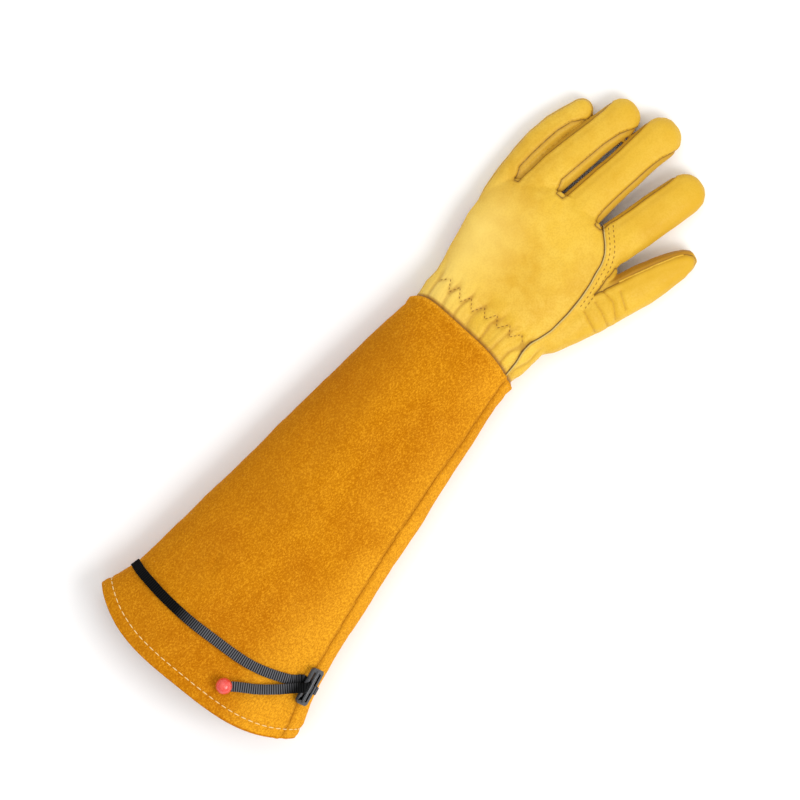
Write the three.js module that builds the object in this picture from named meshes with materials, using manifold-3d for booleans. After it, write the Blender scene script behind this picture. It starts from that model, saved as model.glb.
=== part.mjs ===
// Left-hand rose pruning gauntlet of leather, lying palm down. Millimetres.
// X runs across to the thumb side, Y to the fingertips, Z up from the surface it lies on.
// The origin is on the flat underside of the cuff, in the middle of its narrow end.
// Tables hold shares of the named sizes, one row for each section, finger or seam point.

import * as THREE from "three";
import { mergeVertices } from "three/addons/utils/BufferGeometryUtils.js";
import Module from "manifold-3d";

const wasm = await Module();
wasm.setup();

// Walls, the gap left along every seam, and how square the sections are over and under (2 is an ellipse)
const suedeWall = 2;
const leatherWall = 1.4;
const patchThick = 2;
const seamGap = 0.3;
const overPower = 2.3;
const underPower = 3.4;
const fingerPower = 2.2;

// Cuff: a flattened cone of suede, open at both ends
const wristWidth = 87.6;
const wristHeight = 40;
const hemWidth = 161;
const hemHeight = 52;
const cuffLength = 268;
const cuffEdgeSide = 7;
const cuffEdgeTilt = 1.7;
const backEdgeRise = 7.2;
const palmEdgeRise = 13;
const hemBulge = 19.5;
const hemTilt = 1.6;
const cuffWaist = 0.42;
const restFlatness = 1.06;
const gussetShow = 20;
const pinkyEdgeCurve = 8;
const thumbEdgeCurve = 2.6;
const palmEdgeCurve = 3;
const hemCurve = 3.4;

// Hand: palm length runs from the origin to the finger crotches
const palmLength = 124;
const handTuck = 8;
const tuckGap = 0.6;
const knuckleWidth = 102;
const knuckleHeight = 27;
const palmWaist = 0.45;
const knuckleArch = 14;
const knucklePeak = 0.1;
const crotchSlant = 12;
const gatherDepth = 1.6;

// Feet of the strips between the fingers, on the back of the hand and in the palm, and the palm's bite into a front
const forkBite = 2.6;
const forkFoot = 8;
const forkLeg = 4;
const footTaper = 0.6;
const forkLowBite = 7;
const forkLowFoot = 8;
const frontBite = 3.5;

// Fingers and thumb
const fingerLength = 84.5;
const fingerThick = 21.5;
const fingerTaper = 0.16;
const fingerRoot = 22;
const seamTurnFrom = 0.7;
const seamTurnOver = 0.22;
const fingerDropFrom = 0.85;
const fingerDropOver = 0.9;
const thumbLength = 128.5;
const thumbWidth = 27.6;
const thumbThick = 22;
const thumbLean = 21;
const thumbRise = 15.2;
const thumbDrop = 6.5;
const thumbSeamTilt = 26;
const thumbSeamLift = 4;
const thumbSeamLow = 0.45;
const thumbSeamHigh = 1.45;

// Strap, slide and bead at the wide end of the cuff
const strapWidth = 6.8;
const strapThick = 1.2;
const strapClear = 0.8;
const tabWidth = 5.7;
const tabSide = -0.7;
const strapInSide = 2.2;
const strapOutSide = -1.6;
const slideLength = 25.5;
const slideWidth = 12;
const slideThick = 1.8;
const slideCorner = 1.6;
const slideTilt = 52;
const slideLift = 4.2;
const slotLength = 20;
const slotWidth = 2.4;
const barWidth = 2.8;
const barRaise = 0.7;
const beadSize = 10.8;
const beadSocket = 3;
const tailLift = 4.2;

// Stretches of the palm's length, or of its rise from side to crown, over which one form turns into the next
const blends = {
  patch: { from: 0.16, to: 0.3 },
  hand: { from: 0.1, to: 0.4 },
  knuckles: { from: 0.68, to: 0.95 },
  crown: { from: 0.3, to: 0.75 },
};

// Sections of the cuff: left and right are shares of its flare on one side, high of its growth in height,
// gusset of how far the gusset shows from above
const cuffRows = [
  { along: 0, left: 0, right: 0, high: 0, gusset: 0.3 },
  { along: 0.06, left: 0.046, right: 0.014, high: 0.05, gusset: 0.26 },
  { along: 0.17, left: 0.16, right: 0.13, high: 0.15, gusset: 0.32 },
  { along: 0.3, left: 0.25, right: 0.24, high: 0.28, gusset: 0.4 },
  { along: 0.45, left: 0.354, right: 0.376, high: 0.42, gusset: 0.45 },
  { along: 0.6, left: 0.45, right: 0.507, high: 0.56, gusset: 0.4 },
  { along: 0.75, left: 0.567, right: 0.654, high: 0.7, gusset: 0.35 },
  { along: 0.85, left: 0.657, right: 0.768, high: 0.8, gusset: 0.32 },
  { along: 0.91, left: 0.719, right: 0.866, high: 0.87, gusset: 0.32 },
  { along: 0.96, left: 0.839, right: 1, high: 0.94, gusset: 0.35 },
  { along: 1, left: 0.948, right: 1.049, high: 1, gusset: 0.35 },
];

// Sections of the palm: along is a share of its length, left and right of the way from wrist to knuckle width,
// high of the way from wrist to knuckle height, fold of the gathers' depth
const palmRows = [
  { along: -0.1, left: 0, right: 0, high: 0, fold: 0 },
  { along: 0.02, left: 0, right: 0, high: 0, fold: 0 },
  { along: 0.075, left: 0, right: 0.06, high: 0, fold: 0.35 },
  { along: 0.125, left: 0.04, right: 0.28, high: 0.02, fold: 1 },
  { along: 0.19, left: 0.17, right: 0.36, high: 0.06, fold: 1 },
  { along: 0.265, left: 0.08, right: 0.42, high: 0.26, fold: 1 },
  { along: 0.325, left: 0.2, right: 0.47, high: 0.24, fold: 0.45 },
  { along: 0.4, left: 0.44, right: 0.52, high: 0.26, fold: 0 },
  { along: 0.5, left: 0.68, right: 0.58, high: 0.32, fold: 0 },
  { along: 0.6, left: 0.92, right: 0.62, high: 0.42, fold: 0 },
  { along: 0.7, left: 0.97, right: 0.68, high: 0.56, fold: 0 },
  { along: 0.81, left: 1.05, right: 0.76, high: 0.74, fold: 0 },
  { along: 0.91, left: 1.1, right: 0.83, high: 0.93, fold: 0 },
  { along: 0.955, left: 1.1, right: 0.82, high: 1.08, fold: 0 },
  { along: 1.01, left: 1, right: 0.7, high: 1.4, fold: 0 },
];

// Fingers: across and along place the base, lean and turn are its heading in degrees and how that bends,
// reach is a share of the middle finger's length, base, body and end are shares of the knuckle width,
// leftSeam and rightSeam are where the strip between two fingers starts, as shares of half the width,
// foot is a share of the width of that strip's foot on the right, root is how narrow its end in the palm is
const fingers = {
  pinky: {
    across: -0.925, along: 0.9, lean: 1.5, turn: 28, reach: 0.84,
    base: 0.142, body: 0.176, end: 0.134, thick: 0.82, leftSeam: -1, rightSeam: 0.36, foot: 0.4, root: 0.7,
  },
  ring: {
    across: -0.529, along: 0.968, lean: 10.5, turn: 1.5, reach: 0.947,
    base: 0.262, body: 0.246, end: 0.23, thick: 1, leftSeam: -0.88, rightSeam: 0.54, foot: 1, root: 0.8,
  },
  middle: {
    across: 0.078, along: 0.984, lean: 7.6, turn: 2.4, reach: 1,
    base: 0.284, body: 0.262, end: 0.262, thick: 1.04, leftSeam: -0.88, rightSeam: 0.73, foot: 1, root: 0.8,
  },
  index: {
    across: 0.688, along: 0.968, lean: 15.2, turn: -1, reach: 0.83,
    base: 0.27, body: 0.272, end: 0.268, thick: 1, leftSeam: -0.88, rightSeam: 1, foot: 1, root: 0.8,
  },
};

// Rounded end of a finger: out is a share of its end radius beyond the centre of the round, size of its width
const tipRows = [
  { out: 0, size: 1 },
  { out: 0.5, size: 0.88 },
  { out: 0.8, size: 0.63 },
  { out: 0.96, size: 0.32 },
];

// Sections of the thumb: wide and thick are shares of its width and thickness
const thumbRows = [
  { along: 0, wide: 0.42, thick: 0.5 },
  { along: 0.12, wide: 0.79, thick: 0.86 },
  { along: 0.25, wide: 0.92, thick: 0.98 },
  { along: 0.4, wide: 1, thick: 1 },
  { along: 0.55, wide: 0.98, thick: 0.98 },
  { along: 0.68, wide: 0.95, thick: 0.93 },
  { along: 0.8, wide: 0.82, thick: 0.84 },
  { along: 0.89, wide: 0.68, thick: 0.74 },
  { along: 0.95, wide: 0.52, thick: 0.6 },
  { along: 0.985, wide: 0.3, thick: 0.36 },
];
const thumbBase = { across: 0.68, along: 0.243 };

// Seam down the back of the hand, from the crotch of the index finger to the cuff
const backSeam = [
  { across: 0.41, along: 1 },
  { across: 0.5, along: 0.968 },
  { across: 0.59, along: 0.935 },
  { across: 0.675, along: 0.89 },
  { across: 0.724, along: 0.839 },
  { across: 0.741, along: 0.782 },
  { across: 0.773, along: 0.726 },
  { across: 0.796, along: 0.637 },
  { across: 0.8, along: 0.532 },
  { across: 0.773, along: 0.403 },
  { across: 0.72, along: 0.33 },
  { across: 0.675, along: 0.287 },
  { across: 0.665, along: 0.224 },
  { across: 0.692, along: 0.16 },
  { across: 0.692, along: -0.2 },
];

// Seam round the set-in thumb, on the back of the hand (top) and in the palm (low)
const thumbSeam = [
  { topAcross: 1.24, topAlong: 1.1, lowAcross: 1.22, lowAlong: 1.1 },
  { topAcross: 1.08, topAlong: 0.985, lowAcross: 1.06, lowAlong: 0.985 },
  { topAcross: 0.985, topAlong: 0.89, lowAcross: 0.94, lowAlong: 0.89 },
  { topAcross: 0.965, topAlong: 0.82, lowAcross: 0.71, lowAlong: 0.83 },
  { topAcross: 0.955, topAlong: 0.74, lowAcross: 0.53, lowAlong: 0.75 },
  { topAcross: 0.945, topAlong: 0.66, lowAcross: 0.43, lowAlong: 0.64 },
  { topAcross: 0.94, topAlong: 0.58, lowAcross: 0.34, lowAlong: 0.54 },
  { topAcross: 0.94, topAlong: 0.5, lowAcross: 0.2, lowAlong: 0.43 },
  { topAcross: 0.95, topAlong: 0.43, lowAcross: 0.14, lowAlong: 0.34 },
  { topAcross: 0.97, topAlong: 0.37, lowAcross: 0.19, lowAlong: 0.26 },
  { topAcross: 1, topAlong: 0.33, lowAcross: 0.36, lowAlong: 0.2 },
  { topAcross: 1.08, topAlong: 0.29, lowAcross: 0.62, lowAlong: 0.19 },
  { topAcross: 1.3, topAlong: 0.24, lowAcross: 1.2, lowAlong: 0.21 },
  { topAcross: 2.2, topAlong: 0.3, lowAcross: 2.2, lowAlong: 0.24 },
  { topAcross: 2.2, topAlong: 1.4, lowAcross: 2.2, lowAlong: 1.4 },
  { topAcross: 1.5, topAlong: 1.4, lowAcross: 1.5, lowAlong: 1.4 },
];

// Outline of the patch across the palm
const patchOutline = [
  { across: 0.55, along: 0.775 },
  { across: 0.34, along: 0.805 },
  { across: 0.1, along: 0.81 },
  { across: -0.24, along: 0.798 },
  { across: -0.54, along: 0.766 },
  { across: -0.8, along: 0.718 },
  { across: -1.1, along: 0.64 },
  { across: -1.1, along: 0.3 },
  { across: -0.88, along: 0.345 },
  { across: -0.63, along: 0.411 },
  { across: -0.45, along: 0.476 },
  { across: -0.18, along: 0.544 },
  { across: 0.16, along: 0.605 },
  { across: 0.4, along: 0.67 },
];

// Strap over the cuff, from the little-finger edge to the slide: shares of half the width and of the length
const strapRows = [
  { across: -0.985, along: 0.909 },
  { across: -0.9, along: 0.9 },
  { across: -0.78, along: 0.889 },
  { across: -0.6, along: 0.88 },
  { across: -0.3, along: 0.875 },
  { across: 0, along: 0.872 },
  { across: 0.3, along: 0.869 },
  { across: 0.5, along: 0.864 },
  { across: 0.7, along: 0.858 },
  { across: 0.78, along: 0.8555 },
];

// Free tail of the strap: lift is a share of its height over the cuff
const tailRows = [
  { across: 0.78, along: 0.874, lift: 1.35 },
  { across: 0.7, along: 0.886, lift: 0.95 },
  { across: 0.545, along: 0.906, lift: 0.9 },
];
const tailEnd = { across: 0.386, along: 0.924 };
const beadSpot = { across: 0.292, along: 0.939 };
const slideSpot = { across: 0.9, along: 0.862 };

// Loop of the strap round the near rail of the slide: away is from the rail towards the edge of the slide
const loopRows = [
  { away: -2.6, out: -2.15 },
  { away: -0.2, out: -2.1 },
  { away: 1.3, out: -1.85 },
  { away: 2.35, out: -0.9 },
  { away: 2.5, out: 0 },
  { away: 2.35, out: 0.9 },
  { away: 1.3, out: 1.85 },
  { away: -0.2, out: 2.3 },
  { away: -2.6, out: 3 },
];

// Loop of the tab round the far rail, both ends sewn down under the slide
const tabRows = [
  { away: -0.1, out: -2.2 },
  { away: 1.3, out: -1.9 },
  { away: 2.35, out: -0.9 },
  { away: 2.5, out: 0 },
  { away: 2.35, out: 0.9 },
  { away: 1.3, out: 1.85 },
  { away: -0.2, out: 2 },
  { away: -1.6, out: 1.7 },
  { away: -2.25, out: 0.7 },
  { away: -2.3, out: -0.5 },
  { away: -2, out: -1.6 },
  { away: -1.4, out: -2.1 },
];

// Places of the rings along the hollows, the patch and the valleys between the fingers, as shares of their length
const cuffInnerShares = [-0.06, 0.06, 0.3, 0.6, 0.85, 0.91, 0.96, 1.05];
const palmInnerShares = [-0.2, 0.02, 0.125, 0.265, 0.4, 0.6, 0.81, 0.91, 0.985];
const patchShares = [0.2, 0.325, 0.4, 0.5, 0.6, 0.7, 0.81, 0.91];
const fingerShares = [0, 0.2, 0.4, 0.6];
const fingerInnerShares = [0, 0.5];
const lineShares = [0, 0.15, 0.3, 0.45, 0.6, 0.75, 0.92];

// Numbers of sides and steps, and the levels and clearances of the blocks that cut the pieces apart
const cuffSides = 40;
const cuffInnerSides = 28;
const palmSides = 38;
const palmBackSides = 26;
const palmInnerSides = 22;
const fingerSides = 14;
const fingerInnerSides = 8;
const strapSteps = 60;
const tabSteps = 24;
const above = 60;
const below = -6;
const patchTop = 8;
const pastTip = 4;
const pastEnds = 0.1;

const knuckleHalf = knuckleWidth / 2;
const wristInside = wristWidth / 2 - suedeWall - tuckGap;
const wristTop = wristHeight - suedeWall - tuckGap;
const flare = (hemWidth - wristWidth) / 2;

// Value of a column at a place between the rows of a table, carried on past its ends
function read(rows, key, column, at) {
  let upper = rows.findIndex((row) => row[key] > at);
  if (upper === -1) upper = rows.length - 1;
  if (upper === 0) upper = 1;
  const a = rows[upper - 1];
  const b = rows[upper];
  return a[column] + ((at - a[key]) / (b[key] - a[key])) * (b[column] - a[column]);
}

// Point on a rounded section of unit half size: the power is 2 for an ellipse, more for a squarer one
function rounded(angle, topPower, lowPower) {
  const c = Math.cos(angle);
  const s = Math.sin(angle);
  const share = 2 / (s >= 0 ? topPower : lowPower);
  return {
    across: Math.sign(c) * Math.abs(c) ** share,
    up: Math.sign(s) * Math.abs(s) ** share,
  };
}

// Closed tube of rings, each placed by a function of its number and the angle round it
function tube(sides, rings, place) {
  const geometry = new THREE.CylinderGeometry(1, 1, 1, sides, rings - 1);
  const points = geometry.attributes.position;
  for (let i = 0; i < points.count; i += 1) {
    const ring = Math.round((points.getY(i) + 0.5) * (rings - 1));
    const onEndCentre = Math.hypot(points.getX(i), points.getZ(i)) < 0.5;
    const angle = (Math.atan2(points.getZ(i), points.getX(i)) + 2 * Math.PI) % (2 * Math.PI);
    const spot = place(ring, angle, onEndCentre);
    points.setXYZ(i, spot.x, spot.y, spot.z);
  }
  return geometry;
}

function solid(geometry) {
  geometry.deleteAttribute("normal");
  geometry.deleteAttribute("uv");
  const merged = mergeVertices(geometry, 1e-3);
  return new wasm.Manifold(new wasm.Mesh({
    numProp: 3,
    vertProperties: new Float32Array(merged.attributes.position.array),
    triVerts: new Uint32Array(merged.index.array),
  }));
}

function joined(solids) {
  return solids.reduce((whole, next) => whole.add(next));
}

function without(body, cutters) {
  return cutters.reduce((rest, cutter) => rest.subtract(cutter), body);
}

// Upright block over a plan outline
function block(outline, low, high) {
  const geometry = new THREE.ExtrudeGeometry(new THREE.Shape(outline), { depth: high - low, bevelEnabled: false });
  geometry.translate(0, 0, low);
  return solid(geometry);
}

// Block that is upright above and below and slants from a low outline to a top one between two levels
function slantedBlock(top, low, from, to) {
  const geometry = new THREE.ExtrudeGeometry(new THREE.Shape(top), { depth: 3, steps: 3, bevelEnabled: false });
  const levels = [below, from, to, above];
  const points = geometry.attributes.position;
  for (let i = 0; i < points.count; i += 1) {
    const level = Math.round(points.getZ(i));
    const same = top.findIndex((p) => Math.hypot(p.x - points.getX(i), p.y - points.getY(i)) < 1e-3);
    const spot = level < 2 ? low[same] : top[same];
    points.setXYZ(i, spot.x, spot.y, levels[level]);
  }
  return solid(geometry);
}

// Outline moved outwards by a clearance, for the neighbour's side of a seam
function widened(outline, clearance) {
  const turn = Math.sign(THREE.ShapeUtils.area(outline));
  return outline.map((point, i) => {
    const before = outline[(i + outline.length - 1) % outline.length];
    const after = outline[(i + 1) % outline.length];
    const a = point.clone().sub(before).normalize();
    const b = after.clone().sub(point).normalize();
    const out = new THREE.Vector2(a.y + b.y, -a.x - b.x).normalize();
    const spread = Math.max(0.5, Math.sqrt((1 + a.dot(b)) / 2));
    return point.clone().addScaledVector(out, (turn * clearance) / spread);
  });
}

// Edge of the cuff's narrow end and its hem, along Y
function cuffEdgeAt(across, up) {
  const side = cuffEdgeSide - cuffEdgeTilt * across;
  if (up < 0) return side + palmEdgeRise * (1 - Math.abs(across) ** palmEdgeCurve);
  return side + backEdgeRise * (1 - Math.abs(across) ** (across < 0 ? pinkyEdgeCurve : thumbEdgeCurve));
}

function cuffHemAt(across) {
  return cuffEdgeSide - cuffLength + hemTilt * across - hemBulge * (1 - Math.abs(across) ** hemCurve);
}

// Section of the cuff at a share of its length
function cuffSection(share) {
  const left = -wristWidth / 2 - flare * read(cuffRows, "along", "left", share);
  const right = wristWidth / 2 + flare * read(cuffRows, "along", "right", share);
  const high = wristHeight + (hemHeight - wristHeight) * read(cuffRows, "along", "high", share);
  return { middle: (left + right) / 2, half: (right - left) / 2, high, waist: high * cuffWaist };
}

function cuffPoint(share, across, up, inset) {
  const section = cuffSection(share);
  const rise = up >= 0
    ? (section.high - section.waist - inset) * up
    : (section.waist * restFlatness - inset) * up;
  return new THREE.Vector3(
    section.middle + (section.half - inset) * across,
    THREE.MathUtils.lerp(cuffEdgeAt(across, up), cuffHemAt(across), share),
    Math.max(inset, section.waist + rise),
  );
}

function cuffTube(sides, shares, inset) {
  return solid(tube(sides, shares.length, (ring, angle, onEndCentre) => {
    const spot = onEndCentre ? { across: 0, up: 0 } : rounded(angle, overPower, underPower);
    return cuffPoint(shares[shares.length - 1 - ring], spot.across, spot.up, inset);
  }));
}

const cuffShares = cuffRows.map((row) => row.along);
const cuffShell = cuffTube(cuffSides, cuffShares, 0).subtract(cuffTube(cuffInnerSides, cuffInnerShares, suedeWall));

// Plan line of the gusset's seams, and the block on its thumb side
function gussetOutline(clearance) {
  const rows = [-pastEnds, ...cuffShares, 1 + pastEnds];
  const line = rows.map((share) => {
    const section = cuffSection(share);
    const shows = gussetShow * read(cuffRows, "along", "gusset", THREE.MathUtils.clamp(share, 0, 1));
    return new THREE.Vector2(
      section.middle + section.half - shows - clearance,
      THREE.MathUtils.lerp(cuffEdgeAt(1, 0), cuffHemAt(1), share),
    );
  });
  const far = hemWidth;
  return [...line, new THREE.Vector2(far, line[line.length - 1].y), new THREE.Vector2(far, line[0].y)];
}

const cuffGusset = cuffShell.intersect(block(gussetOutline(0), below, above + hemHeight));
const cuffPanel = cuffShell.subtract(block(gussetOutline(seamGap), below, above + hemHeight));

// Palm: a tube from inside the cuff to the crotches, its far end arched over the knuckles and slanted
function palmEndAt(across) {
  return -knuckleArch * (across - knucklePeak) ** 2;
}

function blend(stretch, at) {
  return THREE.MathUtils.smoothstep(at, stretch.from, stretch.to);
}

function palmPoint(share, across, up, inset, foldShare) {
  const left = wristInside + (knuckleHalf - wristInside) * read(palmRows, "along", "left", share);
  const right = wristInside + (knuckleHalf - wristInside) * read(palmRows, "along", "right", share);
  const floor = THREE.MathUtils.lerp(suedeWall, patchThick, blend(blends.patch, share)) + seamGap;
  const high = wristTop + (knuckleHeight - wristTop) * read(palmRows, "along", "high", share);
  const palmMiddle = floor + (high - floor) * palmWaist;
  const waist = THREE.MathUtils.lerp(wristHeight * cuffWaist, palmMiddle, blend(blends.hand, share));
  const x = (right - left) / 2 + ((right + left) / 2 - inset) * across;
  const onBack = blend(blends.crown, up) * read(palmRows, "along", "fold", share);
  const rise = up >= 0
    ? (high - waist - inset) * up - gatherDepth * foldShare * onBack
    : ((waist - floor) * restFlatness - inset) * up;
  const endMove = palmEndAt(across) - (crotchSlant * (1 - up)) / 2;
  const y = share * palmLength + blend(blends.knuckles, share) * endMove;
  return new THREE.Vector3(x, y, Math.max(floor + inset, waist + rise));
}

// Angle that spends most of the sides on the back of the hand, where the gathers are
function backAngle(angle) {
  const share = angle / (2 * Math.PI);
  const backShare = palmBackSides / palmSides;
  if (share <= backShare) return (Math.PI * share) / backShare;
  return Math.PI + (Math.PI * (share - backShare)) / (1 - backShare);
}

function palmTube(sides, shares, inset, isHollow) {
  return solid(tube(sides, shares.length, (ring, angle, onEndCentre) => {
    const turned = isHollow ? angle : backAngle(angle);
    const isRidge = Math.round((angle / (2 * Math.PI)) * sides) % 2 === 0;
    const spot = onEndCentre ? { across: 0, up: 0 } : rounded(turned, overPower, underPower);
    return palmPoint(shares[ring], spot.across, spot.up, inset, isHollow || !isRidge ? 1 : 0);
  }));
}

// Point on a finger's axis at a share of its length, and its heading there
function fingerAxis(finger, share) {
  const length = fingerLength * finger.reach;
  const spot = new THREE.Vector2(finger.across * knuckleHalf, finger.along * palmLength);
  const steps = 24;
  let heading = THREE.MathUtils.degToRad(finger.lean);
  for (let i = 0; i < steps; i += 1) {
    const part = (Math.max(0, share) * (i + 0.5)) / steps;
    heading = THREE.MathUtils.degToRad(finger.lean + finger.turn * part ** 2);
    const step = (share * length) / steps;
    spot.x += step * Math.sin(heading);
    spot.y += step * Math.cos(heading);
  }
  return { spot, heading };
}

function fingerWidth(finger, share) {
  if (share < 0) return knuckleWidth * finger.base * finger.root;
  const near = share < 0.5;
  const from = near ? finger.base : finger.body;
  const to = near ? finger.body : finger.end;
  return knuckleWidth * THREE.MathUtils.lerp(from, to, near ? share * 2 : share * 2 - 1);
}

// Lowest level of the fingers: over the patch at the knuckles, on the surface at the tips
function fingerFloor(y) {
  const drop = (y - palmLength * fingerDropFrom) / (fingerLength * fingerDropOver);
  const onTip = THREE.MathUtils.clamp(drop, 0, 1);
  return (patchThick + seamGap) * (1 - onTip);
}

function fingerPoint(finger, share, side, inset) {
  const axis = fingerAxis(finger, share);
  const half = fingerWidth(finger, share) / 2 - inset;
  return new THREE.Vector2(
    axis.spot.x + half * side * Math.cos(axis.heading),
    axis.spot.y - half * side * Math.sin(axis.heading),
  );
}

function fingerTube(finger, sides, bodyShares, ends, inset) {
  const length = fingerLength * finger.reach;
  const round = fingerWidth(finger, 1) / 2;
  const rows = bodyShares.map((share) => ({ share, size: 1 }));
  for (const row of ends) rows.push({ share: 1 - (round - row.out * (round - inset)) / length, size: row.size });
  return solid(tube(sides, rows.length, (ring, angle, onEndCentre) => {
    const { share, size } = rows[ring];
    const axis = fingerAxis(finger, share);
    const thick = fingerThick * finger.thick * (1 - fingerTaper * Math.max(0, share));
    const spot = onEndCentre ? { across: 0, up: 0 } : rounded(angle, fingerPower, fingerPower);
    const wide = (fingerWidth(finger, share) / 2 - inset) * size * spot.across;
    return new THREE.Vector3(
      axis.spot.x + wide * Math.cos(axis.heading),
      axis.spot.y - wide * Math.sin(axis.heading),
      fingerFloor(axis.spot.y) + thick / 2 + (thick / 2 - inset) * size * spot.up,
    );
  }));
}

// Thumb: a tapering tube that leans away from the palm
function thumbTube(sides, rows, inset) {
  const heading = THREE.MathUtils.degToRad(thumbLean);
  return solid(tube(sides, rows.length, (ring, angle, onEndCentre) => {
    const row = rows[ring];
    const spot = onEndCentre ? { across: 0, up: 0 } : rounded(angle, fingerPower, fingerPower);
    const wide = Math.max(1, (thumbWidth * row.wide) / 2 - inset) * spot.across;
    const reach = row.along * (thumbLength - inset * Math.max(0, row.along));
    return new THREE.Vector3(
      thumbBase.across * knuckleHalf + reach * Math.sin(heading) + wide * Math.cos(heading),
      thumbBase.along * palmLength + reach * Math.cos(heading) - wide * Math.sin(heading),
      thumbRise - thumbDrop * row.along + Math.max(1, (thumbThick * row.thick) / 2 - inset) * spot.up,
    );
  }));
}

const rootShare = -fingerRoot / fingerLength;
const palmShares = [-handTuck / palmLength, ...palmRows.slice(1).map((row) => row.along)];
const handOuter = joined([
  palmTube(palmSides, palmShares, 0, false),
  ...Object.values(fingers).map((finger) => (
    fingerTube(finger, fingerSides, [rootShare, ...fingerShares], tipRows, 0)
  )),
  thumbTube(fingerSides, thumbRows, 0),
]);
const innerTips = [tipRows[0], tipRows[2]];
const handInner = joined([
  palmTube(palmInnerSides, palmInnerShares, leatherWall, true),
  ...Object.values(fingers).map((finger) => (
    fingerTube(finger, fingerInnerSides, [rootShare, ...fingerInnerShares], innerTips, leatherWall)
  )),
  thumbTube(fingerInnerSides + 2, thumbRows.filter((row, i) => i % 2 === 0), leatherWall),
]);
const handShell = handOuter.subtract(handInner);

// Line through the valley between two fingers, and the crotch at its foot
function valleyLine(left, right) {
  return lineShares.map((share) => {
    const a = fingerPoint(left, share, 1, 0);
    const b = fingerPoint(right, share, -1, 0);
    return a.add(b).multiplyScalar(0.5);
  });
}

function crotchOf(left, right) {
  const x = valleyLine(left, right)[0].x;
  return new THREE.Vector2(x, palmLength * palmRows[palmRows.length - 1].along + palmEndAt(x / knuckleHalf));
}

// Strip between two fingers: from the seam of one, round the crotch, to the seam of the other. Its foot is
// narrow and rounded on the back of the hand, and wider and further down in the palm
function forkBlock(left, right, clearance) {
  const reachOut = (share, seam) => {
    const outwards = Math.max(0, share - seamTurnFrom) / seamTurnOver;
    return THREE.MathUtils.lerp(seam, Math.sign(seam), outwards);
  };
  const up = lineShares.map((share) => fingerPoint(left, share, reachOut(share, left.rightSeam), 0));
  const down = lineShares.map((share) => fingerPoint(right, share, reachOut(share, right.leftSeam), 0)).reverse();
  const crotch = crotchOf(left, right);
  const foot = (side, width, depth) => new THREE.Vector2(crotch.x + (side * width) / 2, crotch.y - depth);
  const topFoot = forkFoot * left.foot;
  const top = [
    foot(1, topFoot, -forkLeg),
    foot(footTaper, topFoot, forkBite),
    foot(-footTaper, topFoot, forkBite),
    foot(-1, topFoot, -forkLeg),
    ...up.slice(1),
    ...down.slice(0, -1),
  ];
  const low = [
    down[down.length - 1],
    foot(1, forkLowFoot, forkLowBite),
    foot(-1, forkLowFoot, forkLowBite),
    up[0],
  ].map((point) => new THREE.Vector2(point.x, point.y - crotchSlant));
  return slantedBlock(
    widened(top, clearance),
    widened([...low, ...up.slice(1), ...down.slice(0, -1)], clearance),
    0,
    fingerThick,
  );
}

const { pinky, ring, middle, index } = fingers;
const valleys = [[pinky, ring], [ring, middle], [middle, index]];
const forks = valleys.map(([left, right]) => handShell.intersect(forkBlock(left, right, 0)));
const forkCuts = valleys.map(([left, right]) => forkBlock(left, right, seamGap));

// Level of the seam between the back and the palm side: halfway up the wrist, the knuckles and the tips
function backHalf(clearance) {
  const root = patchThick + seamGap + fingerThick / 2;
  const tip = (fingerThick * (1 - fingerTaper)) / 2;
  const profile = new THREE.Shape([
    new THREE.Vector2(-palmLength, wristHeight / 2 - clearance),
    new THREE.Vector2(palmLength * patchShares[0], wristHeight / 2 - clearance),
    new THREE.Vector2(palmLength * blends.knuckles.to, root - clearance),
    new THREE.Vector2(palmLength + fingerLength, tip - clearance),
    new THREE.Vector2(palmLength + 2 * fingerLength, tip - clearance),
    new THREE.Vector2(palmLength + 2 * fingerLength, above * 2),
    new THREE.Vector2(-palmLength, above * 2),
  ]);
  const geometry = new THREE.ExtrudeGeometry(profile, { depth: 4 * knuckleWidth, bevelEnabled: false });
  geometry.rotateX(Math.PI / 2);
  geometry.rotateZ(Math.PI / 2);
  geometry.translate(-2 * knuckleWidth, 0, 0);
  return solid(geometry);
}

// Block over the back of the hand, from its seam by the index finger to the little-finger side
function backOutline(clearance) {
  const seam = backSeam.map((row) => new THREE.Vector2(row.across * knuckleHalf, row.along * palmLength));
  const line = valleyLine(middle, index).slice(1);
  const tip = line[line.length - 1];
  return widened([
    ...seam.reverse(),
    ...line,
    new THREE.Vector2(tip.x + pastTip, tip.y + fingerLength / 3),
    new THREE.Vector2(-2 * knuckleHalf, tip.y + fingerLength / 3),
    new THREE.Vector2(-2 * knuckleHalf, palmInnerShares[0] * palmLength),
  ], clearance);
}

function backBlock(clearance) {
  return block(backOutline(clearance), below, above).intersect(backHalf(clearance));
}

// Block under the front of one finger, from its base seam out past its tip
function frontBlock(before, finger, after, clearance) {
  const left = valleyLine(before, finger);
  const right = valleyLine(finger, after);
  const leftFoot = crotchOf(before, finger);
  const rightFoot = crotchOf(finger, after);
  const outline = widened([
    new THREE.Vector2(leftFoot.x, leftFoot.y - frontBite),
    new THREE.Vector2(rightFoot.x, rightFoot.y - frontBite),
    ...right,
    new THREE.Vector2(right[right.length - 1].x + pastTip / 2, palmLength + 2 * fingerLength),
    new THREE.Vector2(left[left.length - 1].x - pastTip, palmLength + 2 * fingerLength),
    ...left.reverse(),
  ], clearance);
  const slanted = outline.map((point, i) => new THREE.Vector2(point.x, point.y - (i < 2 ? crotchSlant : 0)));
  return slantedBlock(outline, slanted, 0, fingerThick);
}

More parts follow.
